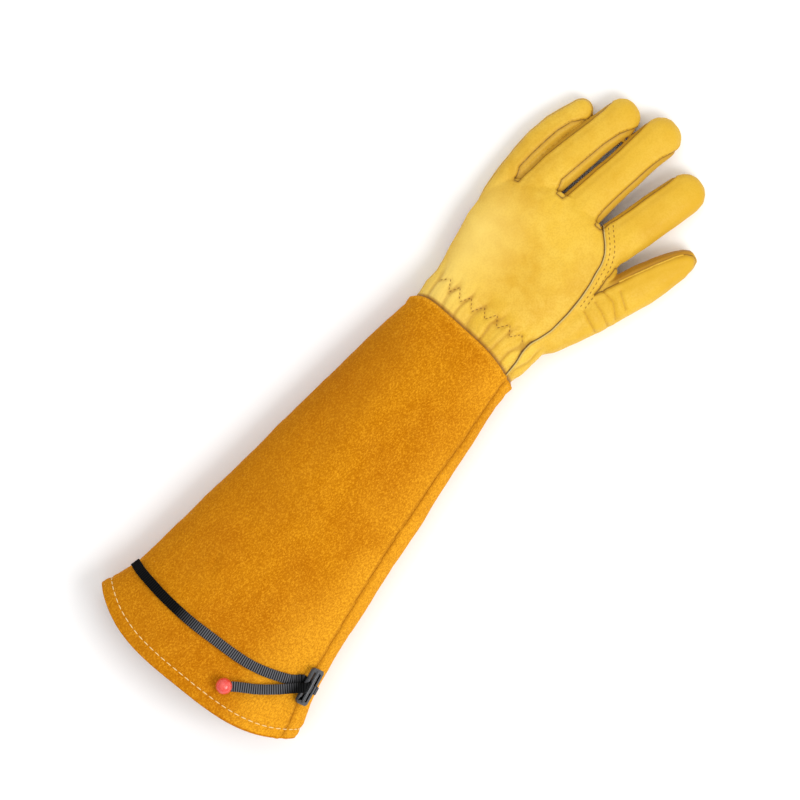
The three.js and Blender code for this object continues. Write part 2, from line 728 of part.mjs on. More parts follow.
// Set-in thumb, split along its length by a slanted plane
function thumbBlock(clearance) {
  const top = thumbSeam.map((row) => new THREE.Vector2(row.topAcross * knuckleHalf, row.topAlong * palmLength));
  const low = thumbSeam.map((row) => new THREE.Vector2(row.lowAcross * knuckleHalf, row.lowAlong * palmLength));
  const from = thumbRise * thumbSeamLow;
  return slantedBlock(widened(top, clearance), widened(low, clearance), from, thumbRise * thumbSeamHigh);
}

function thumbBackHalf(clearance) {
  const size = 2 * thumbLength;
  const geometry = new THREE.BoxGeometry(size, size, size);
  geometry.translate(0, 0, size / 2 + thumbSeamLift - clearance);
  geometry.rotateY(THREE.MathUtils.degToRad(thumbSeamTilt));
  geometry.rotateX(-Math.atan(thumbDrop / thumbLength));
  geometry.rotateZ(-THREE.MathUtils.degToRad(thumbLean));
  geometry.translate(thumbBase.across * knuckleHalf, thumbBase.along * palmLength, thumbRise);
  return solid(geometry);
}

const backCut = backBlock(seamGap);
const thumbCut = thumbBlock(seamGap);
const thumbPart = without(handShell.intersect(thumbBlock(0)), forkCuts);
const ringFrontBlock = frontBlock(pinky, ring, middle, 0);
const ringFrontCut = frontBlock(pinky, ring, middle, seamGap);
const middleFrontBlock = frontBlock(ring, middle, index, 0).subtract(ringFrontCut);
const middleFrontCut = frontBlock(ring, middle, index, seamGap);

const handBack = without(handShell.intersect(backBlock(0)), forkCuts);
const ringFront = without(handShell.intersect(ringFrontBlock), [backCut, ...forkCuts]);
const middleFront = without(handShell.intersect(middleFrontBlock), [backCut, ...forkCuts]);
const palm = without(handShell, [backCut, thumbCut, ringFrontCut, middleFrontCut, ...forkCuts]);
const thumbBack = thumbPart.intersect(thumbBackHalf(0));
const thumbFront = thumbPart.subtract(thumbBackHalf(seamGap));

// Patch: a layer of suede over the palm, up to its seam at the little-finger side
const patchPlan = patchOutline.map((row) => new THREE.Vector2(row.across * knuckleHalf, row.along * palmLength));
const palmPatch = palmTube(palmInnerSides, patchShares, -seamGap - patchThick, true)
  .subtract(palmTube(palmInnerSides, [0.1, ...patchShares, 0.95], -seamGap, true))
  .intersect(block(patchPlan, below, patchTop));

// Frame of the cuff's surface at a spot: out is its normal, on runs towards the hem
function cuffFrame(across, share, isUnder) {
  const power = isUnder ? underPower : overPower;
  const at = (a, s) => {
    const up = (isUnder ? -1 : 1) * (1 - Math.min(1, Math.abs(a)) ** power) ** (1 / power);
    return cuffPoint(s, a, up, 0);
  };
  const step = 0.004;
  const spot = at(across, share);
  const over = at(across + step, share).sub(at(across - step, share)).normalize();
  const on = at(across, share + step).sub(at(across, share - step)).normalize();
  const out = new THREE.Vector3().crossVectors(on, over).normalize();
  if (isUnder) out.negate();
  return { spot, over, on, out };
}

// Flat band through stations, each with its centre and the direction of its width
function ribbon(stations, width, thick, steps) {
  const path = new THREE.CatmullRomCurve3(stations.map((station) => station.spot), false, "centripetal");
  const sideAt = (share) => {
    const place = share * (stations.length - 1);
    const from = Math.min(stations.length - 2, Math.floor(place));
    return stations[from].side.clone().lerp(stations[from + 1].side, place - from).normalize();
  };
  return solid(tube(4, steps + 1, (ring, angle, onEndCentre) => {
    const share = ring / steps;
    const spot = path.getPoint(share);
    if (onEndCentre) return spot;
    const side = sideAt(share);
    const ahead = path.getTangent(share);
    const up = new THREE.Vector3().crossVectors(ahead, side).normalize();
    const corner = Math.round(angle / (Math.PI / 2)) % 4;
    const across = corner === 0 || corner === 3 ? 0.5 : -0.5;
    const lift = corner === 0 || corner === 1 ? 0.5 : -0.5;
    return spot.addScaledVector(side, -across * width).addScaledVector(up, lift * thick);
  }));
}

// Slide: its width runs down the slope of the cuff, its length along the cuff's edge
const seat = cuffFrame(slideSpot.across, slideSpot.along, false);
const slideAlong = seat.on.clone().negate().setZ(0).normalize();
const slideOver = new THREE.Vector3(slideAlong.y, -slideAlong.x, 0)
  .multiplyScalar(Math.cos(THREE.MathUtils.degToRad(slideTilt)))
  .setZ(-Math.sin(THREE.MathUtils.degToRad(slideTilt)));
const slideOut = new THREE.Vector3().crossVectors(slideOver, slideAlong).normalize();
const slideCentre = seat.spot.clone().addScaledVector(seat.out, slideLift);
const slideTurn = new THREE.Matrix4().makeBasis(slideOver, slideAlong, slideOut).setPosition(slideCentre);
const railCentre = (slideWidth / 2 + slotWidth + barWidth / 2) / 2;

function onSlide(over, along, out) {
  return new THREE.Vector3(over, along, out).applyMatrix4(slideTurn);
}

function slideBody() {
  const x = slideWidth / 2;
  const y = slideLength / 2;
  const corners = [[1, -1], [1, 1], [-1, 1], [-1, -1]];
  const plate = new THREE.Shape(corners.flatMap(([side, end]) => {
    const alongFirst = side * end > 0;
    const onSide = new THREE.Vector2(side * x, end * (y - slideCorner));
    const onEnd = new THREE.Vector2(side * (x - slideCorner), end * y);
    return alongFirst ? [onSide, onEnd] : [onEnd, onSide];
  }));
  const body = new THREE.ExtrudeGeometry(plate, { depth: slideThick, bevelEnabled: false });
  body.translate(0, 0, -slideThick / 2);
  body.applyMatrix4(slideTurn);
  const slots = [-1, 1].map((side) => {
    const slot = new THREE.BoxGeometry(slotWidth, slotLength, 3 * slideThick);
    slot.translate((side * (barWidth + slotWidth)) / 2, 0, 0);
    slot.applyMatrix4(slideTurn);
    return solid(slot);
  });
  const bar = new THREE.CylinderGeometry(barWidth / 2, barWidth / 2, slotLength + barWidth, 12);
  bar.translate(0, 0, barRaise);
  bar.applyMatrix4(slideTurn);
  return without(solid(body), slots).add(solid(bar));
}

// Stations of a loop round a rail, shifted along it from one side to another on the way
function railLoop(rows, side, from, to) {
  return rows.map((row, i) => {
    const along = THREE.MathUtils.lerp(from, to, i / (rows.length - 1));
    return { spot: onSlide(side * (railCentre - row.away), along, row.out), side: slideAlong.clone() };
  });
}

function onCuff(row, lift) {
  const frame = cuffFrame(row.across, row.along, false);
  return { frame, spot: frame.spot.clone().addScaledVector(frame.out, lift) };
}

// Strap: sewn at the little-finger edge, over the cuff, round the near rail and back as a free tail to the bead
const strapLie = strapClear + strapThick / 2;
const strapRun = strapRows.map((row) => {
  const { frame, spot } = onCuff(row, strapLie);
  return { spot, side: frame.on.clone().negate() };
});
const bead = onCuff(beadSpot, beadSize / 2 + seamGap).spot;
const tailPoints = tailRows.map((row) => onCuff(row, tailLift * row.lift).spot);
const tailIn = onCuff(tailEnd, beadSize / 2 + seamGap).spot;
const tailWay = bead.clone().sub(tailIn).normalize();
const tailStop = bead.clone().addScaledVector(tailWay, -(beadSize / 2 - beadSocket));
const tailSide = new THREE.Vector3(-tailWay.y, tailWay.x, 0).normalize().negate();
const strapLoop = railLoop(loopRows, -1, strapInSide, strapOutSide);
const strapStations = [
  ...strapRun,
  ...strapLoop,
  ...tailPoints.map((spot) => ({ spot, side: tailSide.clone() })),
  { spot: tailIn, side: tailSide.clone() },
  { spot: tailStop, side: tailSide.clone() },
];
const strap = ribbon(strapStations, strapWidth, strapThick, strapSteps);

function beadBody() {
  const ball = new THREE.SphereGeometry(beadSize / 2, 14, 8);
  ball.translate(bead.x, bead.y, bead.z);
  const socket = new THREE.BoxGeometry(beadSize, strapWidth + 2 * seamGap, strapThick + 2 * seamGap);
  socket.translate(-beadSize / 2, 0, 0);
  const up = new THREE.Vector3().crossVectors(tailWay, tailSide).normalize();
  const turn = new THREE.Matrix4().makeBasis(tailWay, tailSide, up);
  turn.setPosition(tailStop.clone().addScaledVector(tailWay, seamGap));
  socket.applyMatrix4(turn);
  return solid(ball).subtract(solid(socket));
}

const tab = ribbon(railLoop(tabRows, 1, tabSide, tabSide), tabWidth, strapThick, tabSteps);

function material(color, roughness, metalness) {
  return new THREE.MeshStandardMaterial({ color, roughness, metalness });
}

const suede = material(0xe09a1c, 0.95, 0);
const leather = material(0xeac54c, 0.6, 0);
const patchSuede = material(0xc47206, 0.95, 0);
const elastic = material(0x2a2a2e, 0.85, 0);
const plastic = material(0x35363a, 0.4, 0);
const beadRed = material(0xe5423e, 0.3, 0);

const gauntlet = new THREE.Group();

function addPiece(name, body, look) {
  const mesh = body.getMesh();
  const geometry = new THREE.BufferGeometry();
  geometry.setAttribute("position", new THREE.BufferAttribute(mesh.vertProperties, 3));
  geometry.setIndex(new THREE.BufferAttribute(mesh.triVerts, 1));
  geometry.computeVertexNormals();
  const piece = new THREE.Mesh(geometry, look);
  piece.name = name;
  gauntlet.add(piece);
}

addPiece("cuff_panel", cuffPanel, suede);
addPiece("cuff_gusset", cuffGusset, suede);
addPiece("hand_back", handBack, leather);
addPiece("palm", palm, leather);
addPiece("ring_front", ringFront, leather);
addPiece("middle_front", middleFront, leather);
addPiece("fork_pinky_ring", forks[0], leather);
addPiece("fork_ring_middle", forks[1], leather);
addPiece("fork_middle_index", forks[2], leather);
addPiece("thumb_back", thumbBack, leather);
addPiece("thumb_front", thumbFront, leather);
addPiece("palm_patch", palmPatch, patchSuede);
addPiece("strap", strap, elastic);
addPiece("strap_buckle", slideBody(), plastic);
addPiece("buckle_tab", tab, elastic);
addPiece("strap_bead", beadBody(), beadRed);

export default gauntlet;
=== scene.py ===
import math

import bmesh
import bpy
import numpy as np
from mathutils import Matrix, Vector, noise
from mathutils.bvhtree import BVHTree
from mathutils.kdtree import KDTree


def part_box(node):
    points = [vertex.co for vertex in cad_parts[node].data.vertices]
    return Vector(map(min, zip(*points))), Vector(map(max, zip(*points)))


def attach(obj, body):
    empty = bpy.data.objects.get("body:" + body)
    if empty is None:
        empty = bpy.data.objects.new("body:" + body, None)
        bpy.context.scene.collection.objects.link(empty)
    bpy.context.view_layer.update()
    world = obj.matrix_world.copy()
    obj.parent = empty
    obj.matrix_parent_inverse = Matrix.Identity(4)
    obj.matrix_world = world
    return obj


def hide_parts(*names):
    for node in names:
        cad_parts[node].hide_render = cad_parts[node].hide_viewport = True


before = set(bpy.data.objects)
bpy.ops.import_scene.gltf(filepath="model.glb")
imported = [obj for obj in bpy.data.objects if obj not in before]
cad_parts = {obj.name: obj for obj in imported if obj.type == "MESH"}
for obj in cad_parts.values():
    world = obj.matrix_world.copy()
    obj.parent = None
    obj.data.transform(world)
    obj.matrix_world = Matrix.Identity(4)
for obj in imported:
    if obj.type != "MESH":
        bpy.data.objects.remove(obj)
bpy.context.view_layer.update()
mm = 0.001
print("frame loaded:", len(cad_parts), "nodes")


# helpers that pick, apply and read points
def pickOnly(piece):
    if bpy.context.object and bpy.context.object.mode != "OBJECT":
        bpy.ops.object.mode_set(mode="OBJECT")
    bpy.ops.object.select_all(action="DESELECT")
    piece.select_set(True)
    bpy.context.view_layer.objects.active = piece


def applied(piece, kind, **settings):
    pickOnly(piece)
    bpy.ops.object.modifier_add(type=kind)
    added = piece.modifiers[-1]
    for name, value in settings.items():
        setattr(added, name, value)
    bpy.ops.object.modifier_apply(modifier=added.name)


def editAll(piece, *steps):
    pickOnly(piece)
    bpy.ops.object.mode_set(mode="EDIT")
    for step in steps:
        bpy.ops.mesh.select_all(action="SELECT")
        step()
    bpy.ops.object.mode_set(mode="OBJECT")


def shadeSmooth(piece):
    pickOnly(piece)
    bpy.ops.object.shade_smooth()


def cutByMaterial(piece):
    shadeSmooth(piece)
    editAll(piece, lambda: bpy.ops.mesh.separate(type="MATERIAL"))
    return list(bpy.context.selected_objects)


def pointsOf(piece):
    flat = np.empty(len(piece.data.vertices) * 3)
    piece.data.vertices.foreach_get("co", flat)
    return flat.reshape(-1, 3)


def normalsOf(piece):
    flat = np.empty(len(piece.data.vertices) * 3)
    piece.data.vertices.foreach_get("normal", flat)
    return flat.reshape(-1, 3)


def setPoints(piece, points):
    piece.data.vertices.foreach_set("co", np.asarray(points).ravel())
    piece.data.update()


def setValues(piece, name, values):
    layer = piece.data.attributes.new(name, "FLOAT", "POINT")
    layer.data.foreach_set("value", np.asarray(values, float))


def valuesOf(piece, name):
    values = np.empty(len(piece.data.vertices))
    piece.data.attributes[name].data.foreach_get("value", values)
    return values


def surfaceOf(piece):
    piece.data.calc_loop_triangles()
    return BVHTree.FromPolygons([v.co for v in piece.data.vertices],
                                [tuple(t.vertices) for t in piece.data.loop_triangles])


def cadCopy(names, title):
    copies = []
    for name in names:
        copy = bpy.data.objects.new(title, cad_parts[name].data.copy())
        bpy.context.collection.objects.link(copy)
        copies.append(copy)
    pickOnly(copies[0])
    for copy in copies:
        copy.select_set(True)
    if len(copies) > 1:
        bpy.ops.object.join()
    copies[0].data.materials.clear()
    editAll(copies[0], lambda: bpy.ops.mesh.remove_doubles(threshold=1e-6))
    return copies[0]


def finished(piece, title, material, nodes=()):
    piece.name = title
    piece.data.name = title
    if material:
        piece.data.materials.clear()
        piece.data.materials.append(material)
    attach(piece, "root")
    if nodes:
        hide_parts(*nodes)
    return piece


def noiseAt(points, size, seed):
    return np.array([noise.noise(Vector(p)) for p in points / size + seed])


def waves(points, rows):
    return sum(high * noiseAt(points, size * mm, seed) for high, size, seed in rows)


def bell(away, wide):
    return np.exp(-(away / wide) ** 2)


def ramp(values, low, high):
    return np.clip((values - low) / (high - low), 0, 1)


def distanceTo(points, path):
    best = np.full(len(points), 1e9)
    for a, b in zip(path[:-1], path[1:]):
        a, b = np.asarray(a, float), np.asarray(b, float)
        way = b - a
        share = np.clip(((points - a) @ way) / max(way @ way, 1e-18), 0, 1)
        best = np.minimum(best, np.linalg.norm(points - (a + share[:, None] * way), axis=1))
    return best


def lengthsOf(path):
    return np.concatenate([[0], np.cumsum(np.linalg.norm(np.diff(path, axis=0), axis=1))])


def readAt(at, lengths, rows):
    return np.stack([np.interp(at, lengths, column) for column in rows.T], axis=-1)


def evenly(path, step):
    path = np.asarray(path, float)
    lengths = lengthsOf(path)
    count = max(2, int(round(lengths[-1] / step)) + 1)
    return readAt(np.linspace(0, lengths[-1], count), lengths, path)


def eased(rows, turns=1):
    for _ in range(turns):
        rows[1:-1] = (rows[:-2] + 2 * rows[1:-1] + rows[2:]) / 4
    return rows


def rounded(path, step, turns=2):
    return eased(evenly(path, step), turns)


def unit(rows):
    return rows / np.linalg.norm(rows, axis=1)[:, None]


# materials, with the shared grain and nap as node groups
def newGroup(title, inputs, outputs):
    group = bpy.data.node_groups.new(title, "ShaderNodeTree")
    for name, kind, value in inputs:
        socket = group.interface.new_socket(name=name, in_out="INPUT", socket_type=kind)
        if value is not None:
            socket.default_value = value
    for name, kind in outputs:
        group.interface.new_socket(name=name, in_out="OUTPUT", socket_type=kind)
    return group, group.nodes.new("NodeGroupInput"), group.nodes.new("NodeGroupOutput")


def noiseNode(tree, vector, scale, detail=3.0, rough=0.55):
    node = tree.nodes.new("ShaderNodeTexNoise")
    node.inputs["Scale"].default_value = scale
    node.inputs["Detail"].default_value = detail
    node.inputs["Roughness"].default_value = rough
    tree.links.new(vector, node.inputs["Vector"])
    return node.outputs["Fac"]


def mathNode(tree, kind, a, b):
    node = tree.nodes.new("ShaderNodeMath")
    node.operation = kind
    for socket, value in zip(node.inputs, (a, b)):
        if isinstance(value, (int, float)):
            socket.default_value = value
        else:
            tree.links.new(value, socket)
    return node.outputs[0]


def summed(tree, *parts):
    total = 0.0
    for value, weight in parts:
        total = mathNode(tree, "ADD", mathNode(tree, "MULTIPLY", value, weight), total)
    return total


def rangeNode(tree, value, low, high, toLow=0.0, toHigh=1.0):
    node = tree.nodes.new("ShaderNodeMapRange")
    node.interpolation_type = "SMOOTHSTEP"
    tree.links.new(value, node.inputs["Value"])
    node.inputs["From Min"].default_value = low
    node.inputs["From Max"].default_value = high
    node.inputs["To Min"].default_value = toLow
    node.inputs["To Max"].default_value = toHigh
    return node.outputs["Result"]


def mixNode(tree, share, first, second):
    node = tree.nodes.new("ShaderNodeMix")
    node.data_type = "RGBA"
    for socket, value in ((node.inputs[0], share), (node.inputs[6], first), (node.inputs[7], second)):
        if isinstance(value, (int, float, tuple)):
            socket.default_value = value
        else:
            tree.links.new(value, socket)
    return node.outputs[2]


def colour(hexText):
    values = [int(hexText[i:i + 2], 16) / 255 for i in (1, 3, 5)]
    return tuple(v / 12.92 if v <= 0.04045 else ((v + 0.055) / 1.055) ** 2.4 for v in values) + (1.0,)


# grain of smooth leather: small pebbles with fine pores between them
grainForm = {"pebbles": 900, "smoothness": 0.4, "fine": 2200, "soft": 260}
leatherGrain, grainIn, grainOut = newGroup(
    "leatherGrain",
    [("Vector", "NodeSocketVector", None), ("Size", "NodeSocketFloat", 1.0)],
    [("Height", "NodeSocketFloat"), ("Pores", "NodeSocketFloat")])
scaledVector = leatherGrain.nodes.new("ShaderNodeVectorMath")
scaledVector.operation = "SCALE"
leatherGrain.links.new(grainIn.outputs["Vector"], scaledVector.inputs[0])
leatherGrain.links.new(grainIn.outputs["Size"], scaledVector.inputs["Scale"])
pebbles = leatherGrain.nodes.new("ShaderNodeTexVoronoi")
pebbles.feature = "SMOOTH_F1"
pebbles.inputs["Scale"].default_value = grainForm["pebbles"]
pebbles.inputs["Smoothness"].default_value = grainForm["smoothness"]
leatherGrain.links.new(scaledVector.outputs[0], pebbles.inputs["Vector"])
fineGrain = noiseNode(leatherGrain, scaledVector.outputs[0], grainForm["fine"], 2.0)
softGrain = noiseNode(leatherGrain, scaledVector.outputs[0], grainForm["soft"], 3.0)
pebbleHigh = rangeNode(leatherGrain, pebbles.outputs["Distance"], 0.0, 0.75, 1.0, 0.0)
grainHigh = summed(leatherGrain, (pebbleHigh, 0.5), (fineGrain, 0.25), (softGrain, 0.5))
leatherGrain.links.new(grainHigh, grainOut.inputs["Height"])
poresBetween = rangeNode(leatherGrain, pebbles.outputs["Distance"], 0.35, 0.8)
leatherGrain.links.new(poresBetween, grainOut.inputs["Pores"])

# nap of suede: short brushed fibres in clumps, with light and dark flecks
napForm = {"combing": (1.0, 0.62, 0.8), "clumps": 1050, "fine": 2400, "patches": 130}
suedeNap, napIn, napOut = newGroup(
    "suedeNap",
    [("Vector", "NodeSocketVector", None)],
    [("Height", "NodeSocketFloat"), ("Flecks", "NodeSocketFloat"), ("Patches", "NodeSocketFloat")])
combed = suedeNap.nodes.new("ShaderNodeVectorMath")
combed.operation = "MULTIPLY"
combed.inputs[1].default_value = napForm["combing"]
suedeNap.links.new(napIn.outputs["Vector"], combed.inputs[0])
napClump = noiseNode(suedeNap, combed.outputs[0], napForm["clumps"], 3.0, 0.6)
napFine = noiseNode(suedeNap, combed.outputs[0], napForm["fine"], 2.0, 0.6)
napSoft = noiseNode(suedeNap, combed.outputs[0], napForm["patches"], 3.0, 0.6)
suedeNap.links.new(summed(suedeNap, (napClump, 0.6), (napFine, 0.4)), napOut.inputs["Height"])
fleckSum = summed(suedeNap, (napClump, 0.62), (napFine, 0.38))
suedeNap.links.new(rangeNode(suedeNap, fleckSum, 0.36, 0.64), napOut.inputs["Flecks"])
suedeNap.links.new(rangeNode(suedeNap, napSoft, 0.3, 0.7), napOut.inputs["Patches"])


def newMaterial(title):
    material = bpy.data.materials.new(title)
    material.use_nodes = True
    tree = material.node_tree
    shader = tree.nodes["Principled BSDF"]
    place = tree.nodes.new("ShaderNodeTexCoord").outputs["Object"]
    return material, tree, shader, place


def attribute(tree, name):
    node = tree.nodes.new("ShaderNodeAttribute")
    node.attribute_name = name
    return node.outputs["Fac"]


# tint where an attribute lies between two values, with a share of the tint at each of them
def tinted(tree, base, name, values, shares, tint):
    share = rangeNode(tree, attribute(tree, name), *values, *shares)
    return mixNode(tree, share, base, colour(tint))


def bumped(tree, shader, height, strength, distance):
    bump = tree.nodes.new("ShaderNodeBump")
    bump.inputs["Strength"].default_value = strength
    bump.inputs["Distance"].default_value = distance
    tree.links.new(height, bump.inputs["Height"])
    tree.links.new(bump.outputs["Normal"], shader.inputs["Normal"])


def leatherMaterial(title, look):
    material, tree, shader, place = newMaterial(title)
    grain = tree.nodes.new("ShaderNodeGroup")
    grain.node_tree = leatherGrain
    grain.inputs["Size"].default_value = look["grainSize"]
    tree.links.new(place, grain.inputs["Vector"])
    patches = rangeNode(tree, noiseNode(tree, place, look["patchScale"], 3.0), 0.35, 0.68)
    fine = rangeNode(tree, noiseNode(tree, place, look["mottleScale"], 3.0), 0.35, 0.7)
    pores = grain.outputs["Pores"]
    base = mixNode(tree, patches, colour(look["base"]), colour(look["deep"]))
    base = mixNode(tree, mathNode(tree, "MULTIPLY", fine, look["mottleShare"]), base, colour(look["light"]))
    base = mixNode(tree, mathNode(tree, "MULTIPLY", pores, look["poreShare"]), base, colour(look["pore"]))
    base = mixNode(tree, attribute(tree, "tone"), base, colour(look["full"]))
    # painted highlight: a paler wash where the back of the hand faces up, towards the little finger
    base = mixNode(tree, attribute(tree, "paintedHighlight"), base, colour(look["paintedHighlight"]))
    base = tinted(tree, base, "seam", (0.4, 2.4), (0.4, 0.0), look["seamShade"])
    # dark line at the seams, which also paints the shadow line beside the cuff's wrist edge
    base = tinted(tree, base, "seam", (0.15, 0.6), (0.8, 0.0), look["jointAndShadowLine"])
    # painted shade in the creases, gathers and grooves
    base = tinted(tree, base, "dent", (0.15, 1.3), (0.0, 0.6), look["seamShade"])
    base = mixNode(tree, attribute(tree, "shaded"), base, colour(look["seamShade"]))
    tree.links.new(base, shader.inputs["Base Color"])
    tree.links.new(rangeNode(tree, grain.outputs["Height"], 0.3, 0.9, 0.62, 0.44), shader.inputs["Roughness"])
    shader.inputs["Specular IOR Level"].default_value = 0.28
    shader.inputs["Sheen Weight"].default_value = 0.05
    shader.inputs["Sheen Roughness"].default_value = 0.5
    bumped(tree, shader, grain.outputs["Height"], 0.32, 0.00025)
    return material


def suedeMaterial(title, look):
    material, tree, shader, place = newMaterial(title)
    nap = tree.nodes.new("ShaderNodeGroup")
    nap.node_tree = suedeNap
    tree.links.new(place, nap.inputs["Vector"])
    large = rangeNode(tree, noiseNode(tree, place, 14, 4.0), 0.38, 0.66)
    patches, flecks = nap.outputs["Patches"], nap.outputs["Flecks"]
    base = mixNode(tree, large, colour(look["base"]), colour(look["deep"]))
    base = mixNode(tree, mathNode(tree, "MULTIPLY", patches, 0.2), base, colour(look["light"]))
    # painted light at the thumb side and along the wrist edge
    base = tinted(tree, base, "paintedShading", (0.0, -1.0), (0.0, 0.9), look["light"])
    fleckShare = mathNode(tree, "ADD", mathNode(tree, "MULTIPLY", flecks, 0.6), 0.4)
    base = mixNode(tree, fleckShare, colour(look["fleck"]), base)
    # light flecks: painted glints on the fibres
    base = mixNode(tree, rangeNode(tree, flecks, 0.62, 1.0, 0.0, 0.4), base, colour(look["light"]))
    # painted shade, a darker brown towards the little-finger side
    base = tinted(tree, base, "paintedShading", (0.0, 1.0), (0.0, 0.45), look["paintedShade"])
    base = tinted(tree, base, "seam", (0.3, 2.6), (0.4, 0.0), look["seamShade"])
    tree.links.new(base, shader.inputs["Base Color"])
    tree.links.new(rangeNode(tree, flecks, 0.0, 1.0, 0.98, 0.86), shader.inputs["Roughness"])
    shader.inputs["Specular IOR Level"].default_value = 0.08
    shader.inputs["Sheen Weight"].default_value = 0.16
    shader.inputs["Sheen Roughness"].default_value = 0.45
    shader.inputs["Sheen Tint"].default_value = colour(look["light"])
    bumped(tree, shader, nap.outputs["Height"], 0.6, 0.0007)
    return material


def threadMaterial(title, main, shade):
    material, tree, shader, place = newMaterial(title)
    twist = noiseNode(tree, place, 2600, 2.0)
    tree.links.new(mixNode(tree, twist, colour(shade), colour(main)), shader.inputs["Base Color"])
    tree.links.new(rangeNode(tree, twist, 0.2, 0.8, 0.85, 0.6), shader.inputs["Roughness"])
    bumped(tree, shader, twist, 0.5, 0.0001)
    return material


hideLook = {"base": "#DFB536", "deep": "#CFA024", "light": "#EBC854", "pore": "#B4861A", "full": "#CE9E14",
            "paintedHighlight": "#F0D272", "seamShade": "#A06C12", "jointAndShadowLine": "#5E3C0C", "grainSize": 1.0,
            "patchScale": 22, "mottleScale": 95, "mottleShare": 0.28, "poreShare": 0.22}
# the hide's own leather, a little darker and less orange: painted shade for the forks between the fingers
forkShadeLook = dict(hideLook, base="#DCB43C", deep="#CDA22C", light="#E6C250")
cuffLook = {"base": "#CA8204", "deep": "#BC7202", "light": "#EAA422", "fleck": "#985200",
            "paintedShade": "#9C5C08", "seamShade": "#985A08"}
patchLook = {"base": "#C47812", "deep": "#B1670A", "light": "#D58E2A", "fleck": "#8F4F04",
             "paintedShade": "#8A4C06", "seamShade": "#7A4304"}
hide = leatherMaterial("grainLeather", hideLook)
forkShadedHide = leatherMaterial("forkLeatherShaded", forkShadeLook)
cuffSuede = suedeMaterial("cuffSuede", cuffLook)
patchSuede = suedeMaterial("palmSuede", patchLook)
creamThread = threadMaterial("creamThread", "#F4DCA0", "#DDBA74")
tanThread = threadMaterial("tanThread", "#A06E16", "#70480E")
rawEdge = threadMaterial("rawLeatherEdge", "#D6C078", "#B09448")
# dark strip painted as the shadow along the back seam
seamShadowStrip = threadMaterial("seamShadow", "#7A5212", "#54380A")


# sweeps along a line, and rows of stitches
def smoothPiece(title, verts, faces):
    mesh = bpy.data.meshes.new(title)
    mesh.from_pydata([tuple(v) for v in verts], [], faces)
    piece = bpy.data.objects.new(title, mesh)
    bpy.context.collection.objects.link(piece)
    editAll(piece, lambda: bpy.ops.mesh.normals_make_consistent(inside=False))
    shadeSmooth(piece)
    return piece


def swept(title, centres, sides, ups, profile, closed=False, sizes=None):
    verts, faces = [], []
    count, around = len(centres), len(profile)
    for i, (centre, side, up) in enumerate(zip(centres, sides, ups)):
        size = 1.0 if sizes is None else sizes[i]
        for across, high in profile:
            verts.append(centre + side * across * size + up * high * size)
    last = count if closed else count - 1
    for i in range(last):
        for j in range(around):
            a, b = i * around + j, i * around + (j + 1) % around
            c, d = ((i + 1) % count) * around + (j + 1) % around, ((i + 1) % count) * around + j
            faces.append((a, b, c, d))
    if not closed:
        faces.append(tuple(reversed(range(around))))
        faces.append(tuple(range((count - 1) * around, count * around)))
    return smoothPiece(title, verts, faces)


def roundProfile(width, height, count=10):
    turns = [2 * math.pi * k / count for k in range(count)]
    return [(math.cos(t) * width / 2, math.sin(t) * height / 2) for t in turns]


def framesAlong(points, normals):
    ahead = unit(np.gradient(points, axis=0))
    sides = unit(np.cross(ahead, normals))
    return sides, np.cross(sides, ahead)


def dropped(surface, plan, fromAbove=True, lift=0.0):
    points, normals = [], []
    for x, y in plan:
        start = Vector((x, y, 0.2 if fromAbove else -0.2))
        hit, normal, _, _ = surface.ray_cast(start, Vector((0, 0, -1 if fromAbove else 1)))
        if hit is None:
            continue
        points.append(np.array(hit + normal * lift))
        normals.append(np.array(normal))
    return np.array(points), np.array(normals)


stitchShape = {"sides": 7, "rings": 6}


def stitchedRow(points, normals, look):
    bpy.ops.object.select_all(action="DESELECT")
    bpy.ops.mesh.primitive_uv_sphere_add(segments=stitchShape["sides"], ring_count=stitchShape["rings"],
                                         radius=0.5)
    model = bpy.context.object
    shape = pointsOf(model)
    loops = [tuple(p.vertices) for p in model.data.polygons]
    bpy.data.objects.remove(model)
    pitch = look["length"] + look["gap"]
    lengths = lengthsOf(points)
    verts, faces = [], []
    at = look["gap"] / 2
    while at + look["length"] < lengths[-1]:
        ends = readAt([at, at + look["length"]], lengths, points)
        out = readAt(at + look["length"] / 2, lengths, normals)
        ahead = ends[1] - ends[0]
        long = np.linalg.norm(ahead)
        ahead /= max(long, 1e-9)
        out = out - ahead * (out @ ahead)
        out /= np.linalg.norm(out)
        side = np.cross(ahead, out)
        middle = (ends[0] + ends[1]) / 2 + out * look["lift"]
        begin = len(verts)
        spots = []
        for across, high, along in shape:
            arch = -look["dip"] * (2 * along) ** 2
            spots.append(middle + ahead * along * long + side * across * look["thick"]
                         + out * (high * look["thick"] + arch))
        up = max(0.0, 0.02 * mm - min(spot[2] for spot in spots))  # nothing sinks into the floor
        verts += [(spot[0], spot[1], spot[2] + up) for spot in spots]
        faces += [tuple(begin + k for k in loop) for loop in loops]
        at += pitch
    return verts, faces


def stitchPiece(title, rows, look, material):
    verts, faces = [], []
    for points, normals in rows:
        if len(points) < 2:
            continue
        more, loops = stitchedRow(points, normals, look)
        faces += [tuple(k + len(verts) for k in loop) for loop in loops]
        verts += more
    return finished(smoothPiece(title, verts, faces), title, material)


# sizes of the cuff, as in the part
cuff = {"wristWidth": 87.6, "wristHeight": 40, "hemWidth": 161, "hemHeight": 52, "length": 268, "edgeSide": 7,
        "edgeTilt": 1.7, "backRise": 7.2, "palmRise": 13, "hemBulge": 19.5, "hemTilt": 1.6, "waist": 0.42,
        "restFlatness": 1.06, "gussetShow": 20, "overPower": 2.3, "underPower": 3.4, "wall": 2.0,
        "pinkyCurve": 8, "thumbCurve": 2.6, "palmCurve": 3, "hemCurve": 3.4,
        "stepsAround": 280, "stepsAlong": 200}


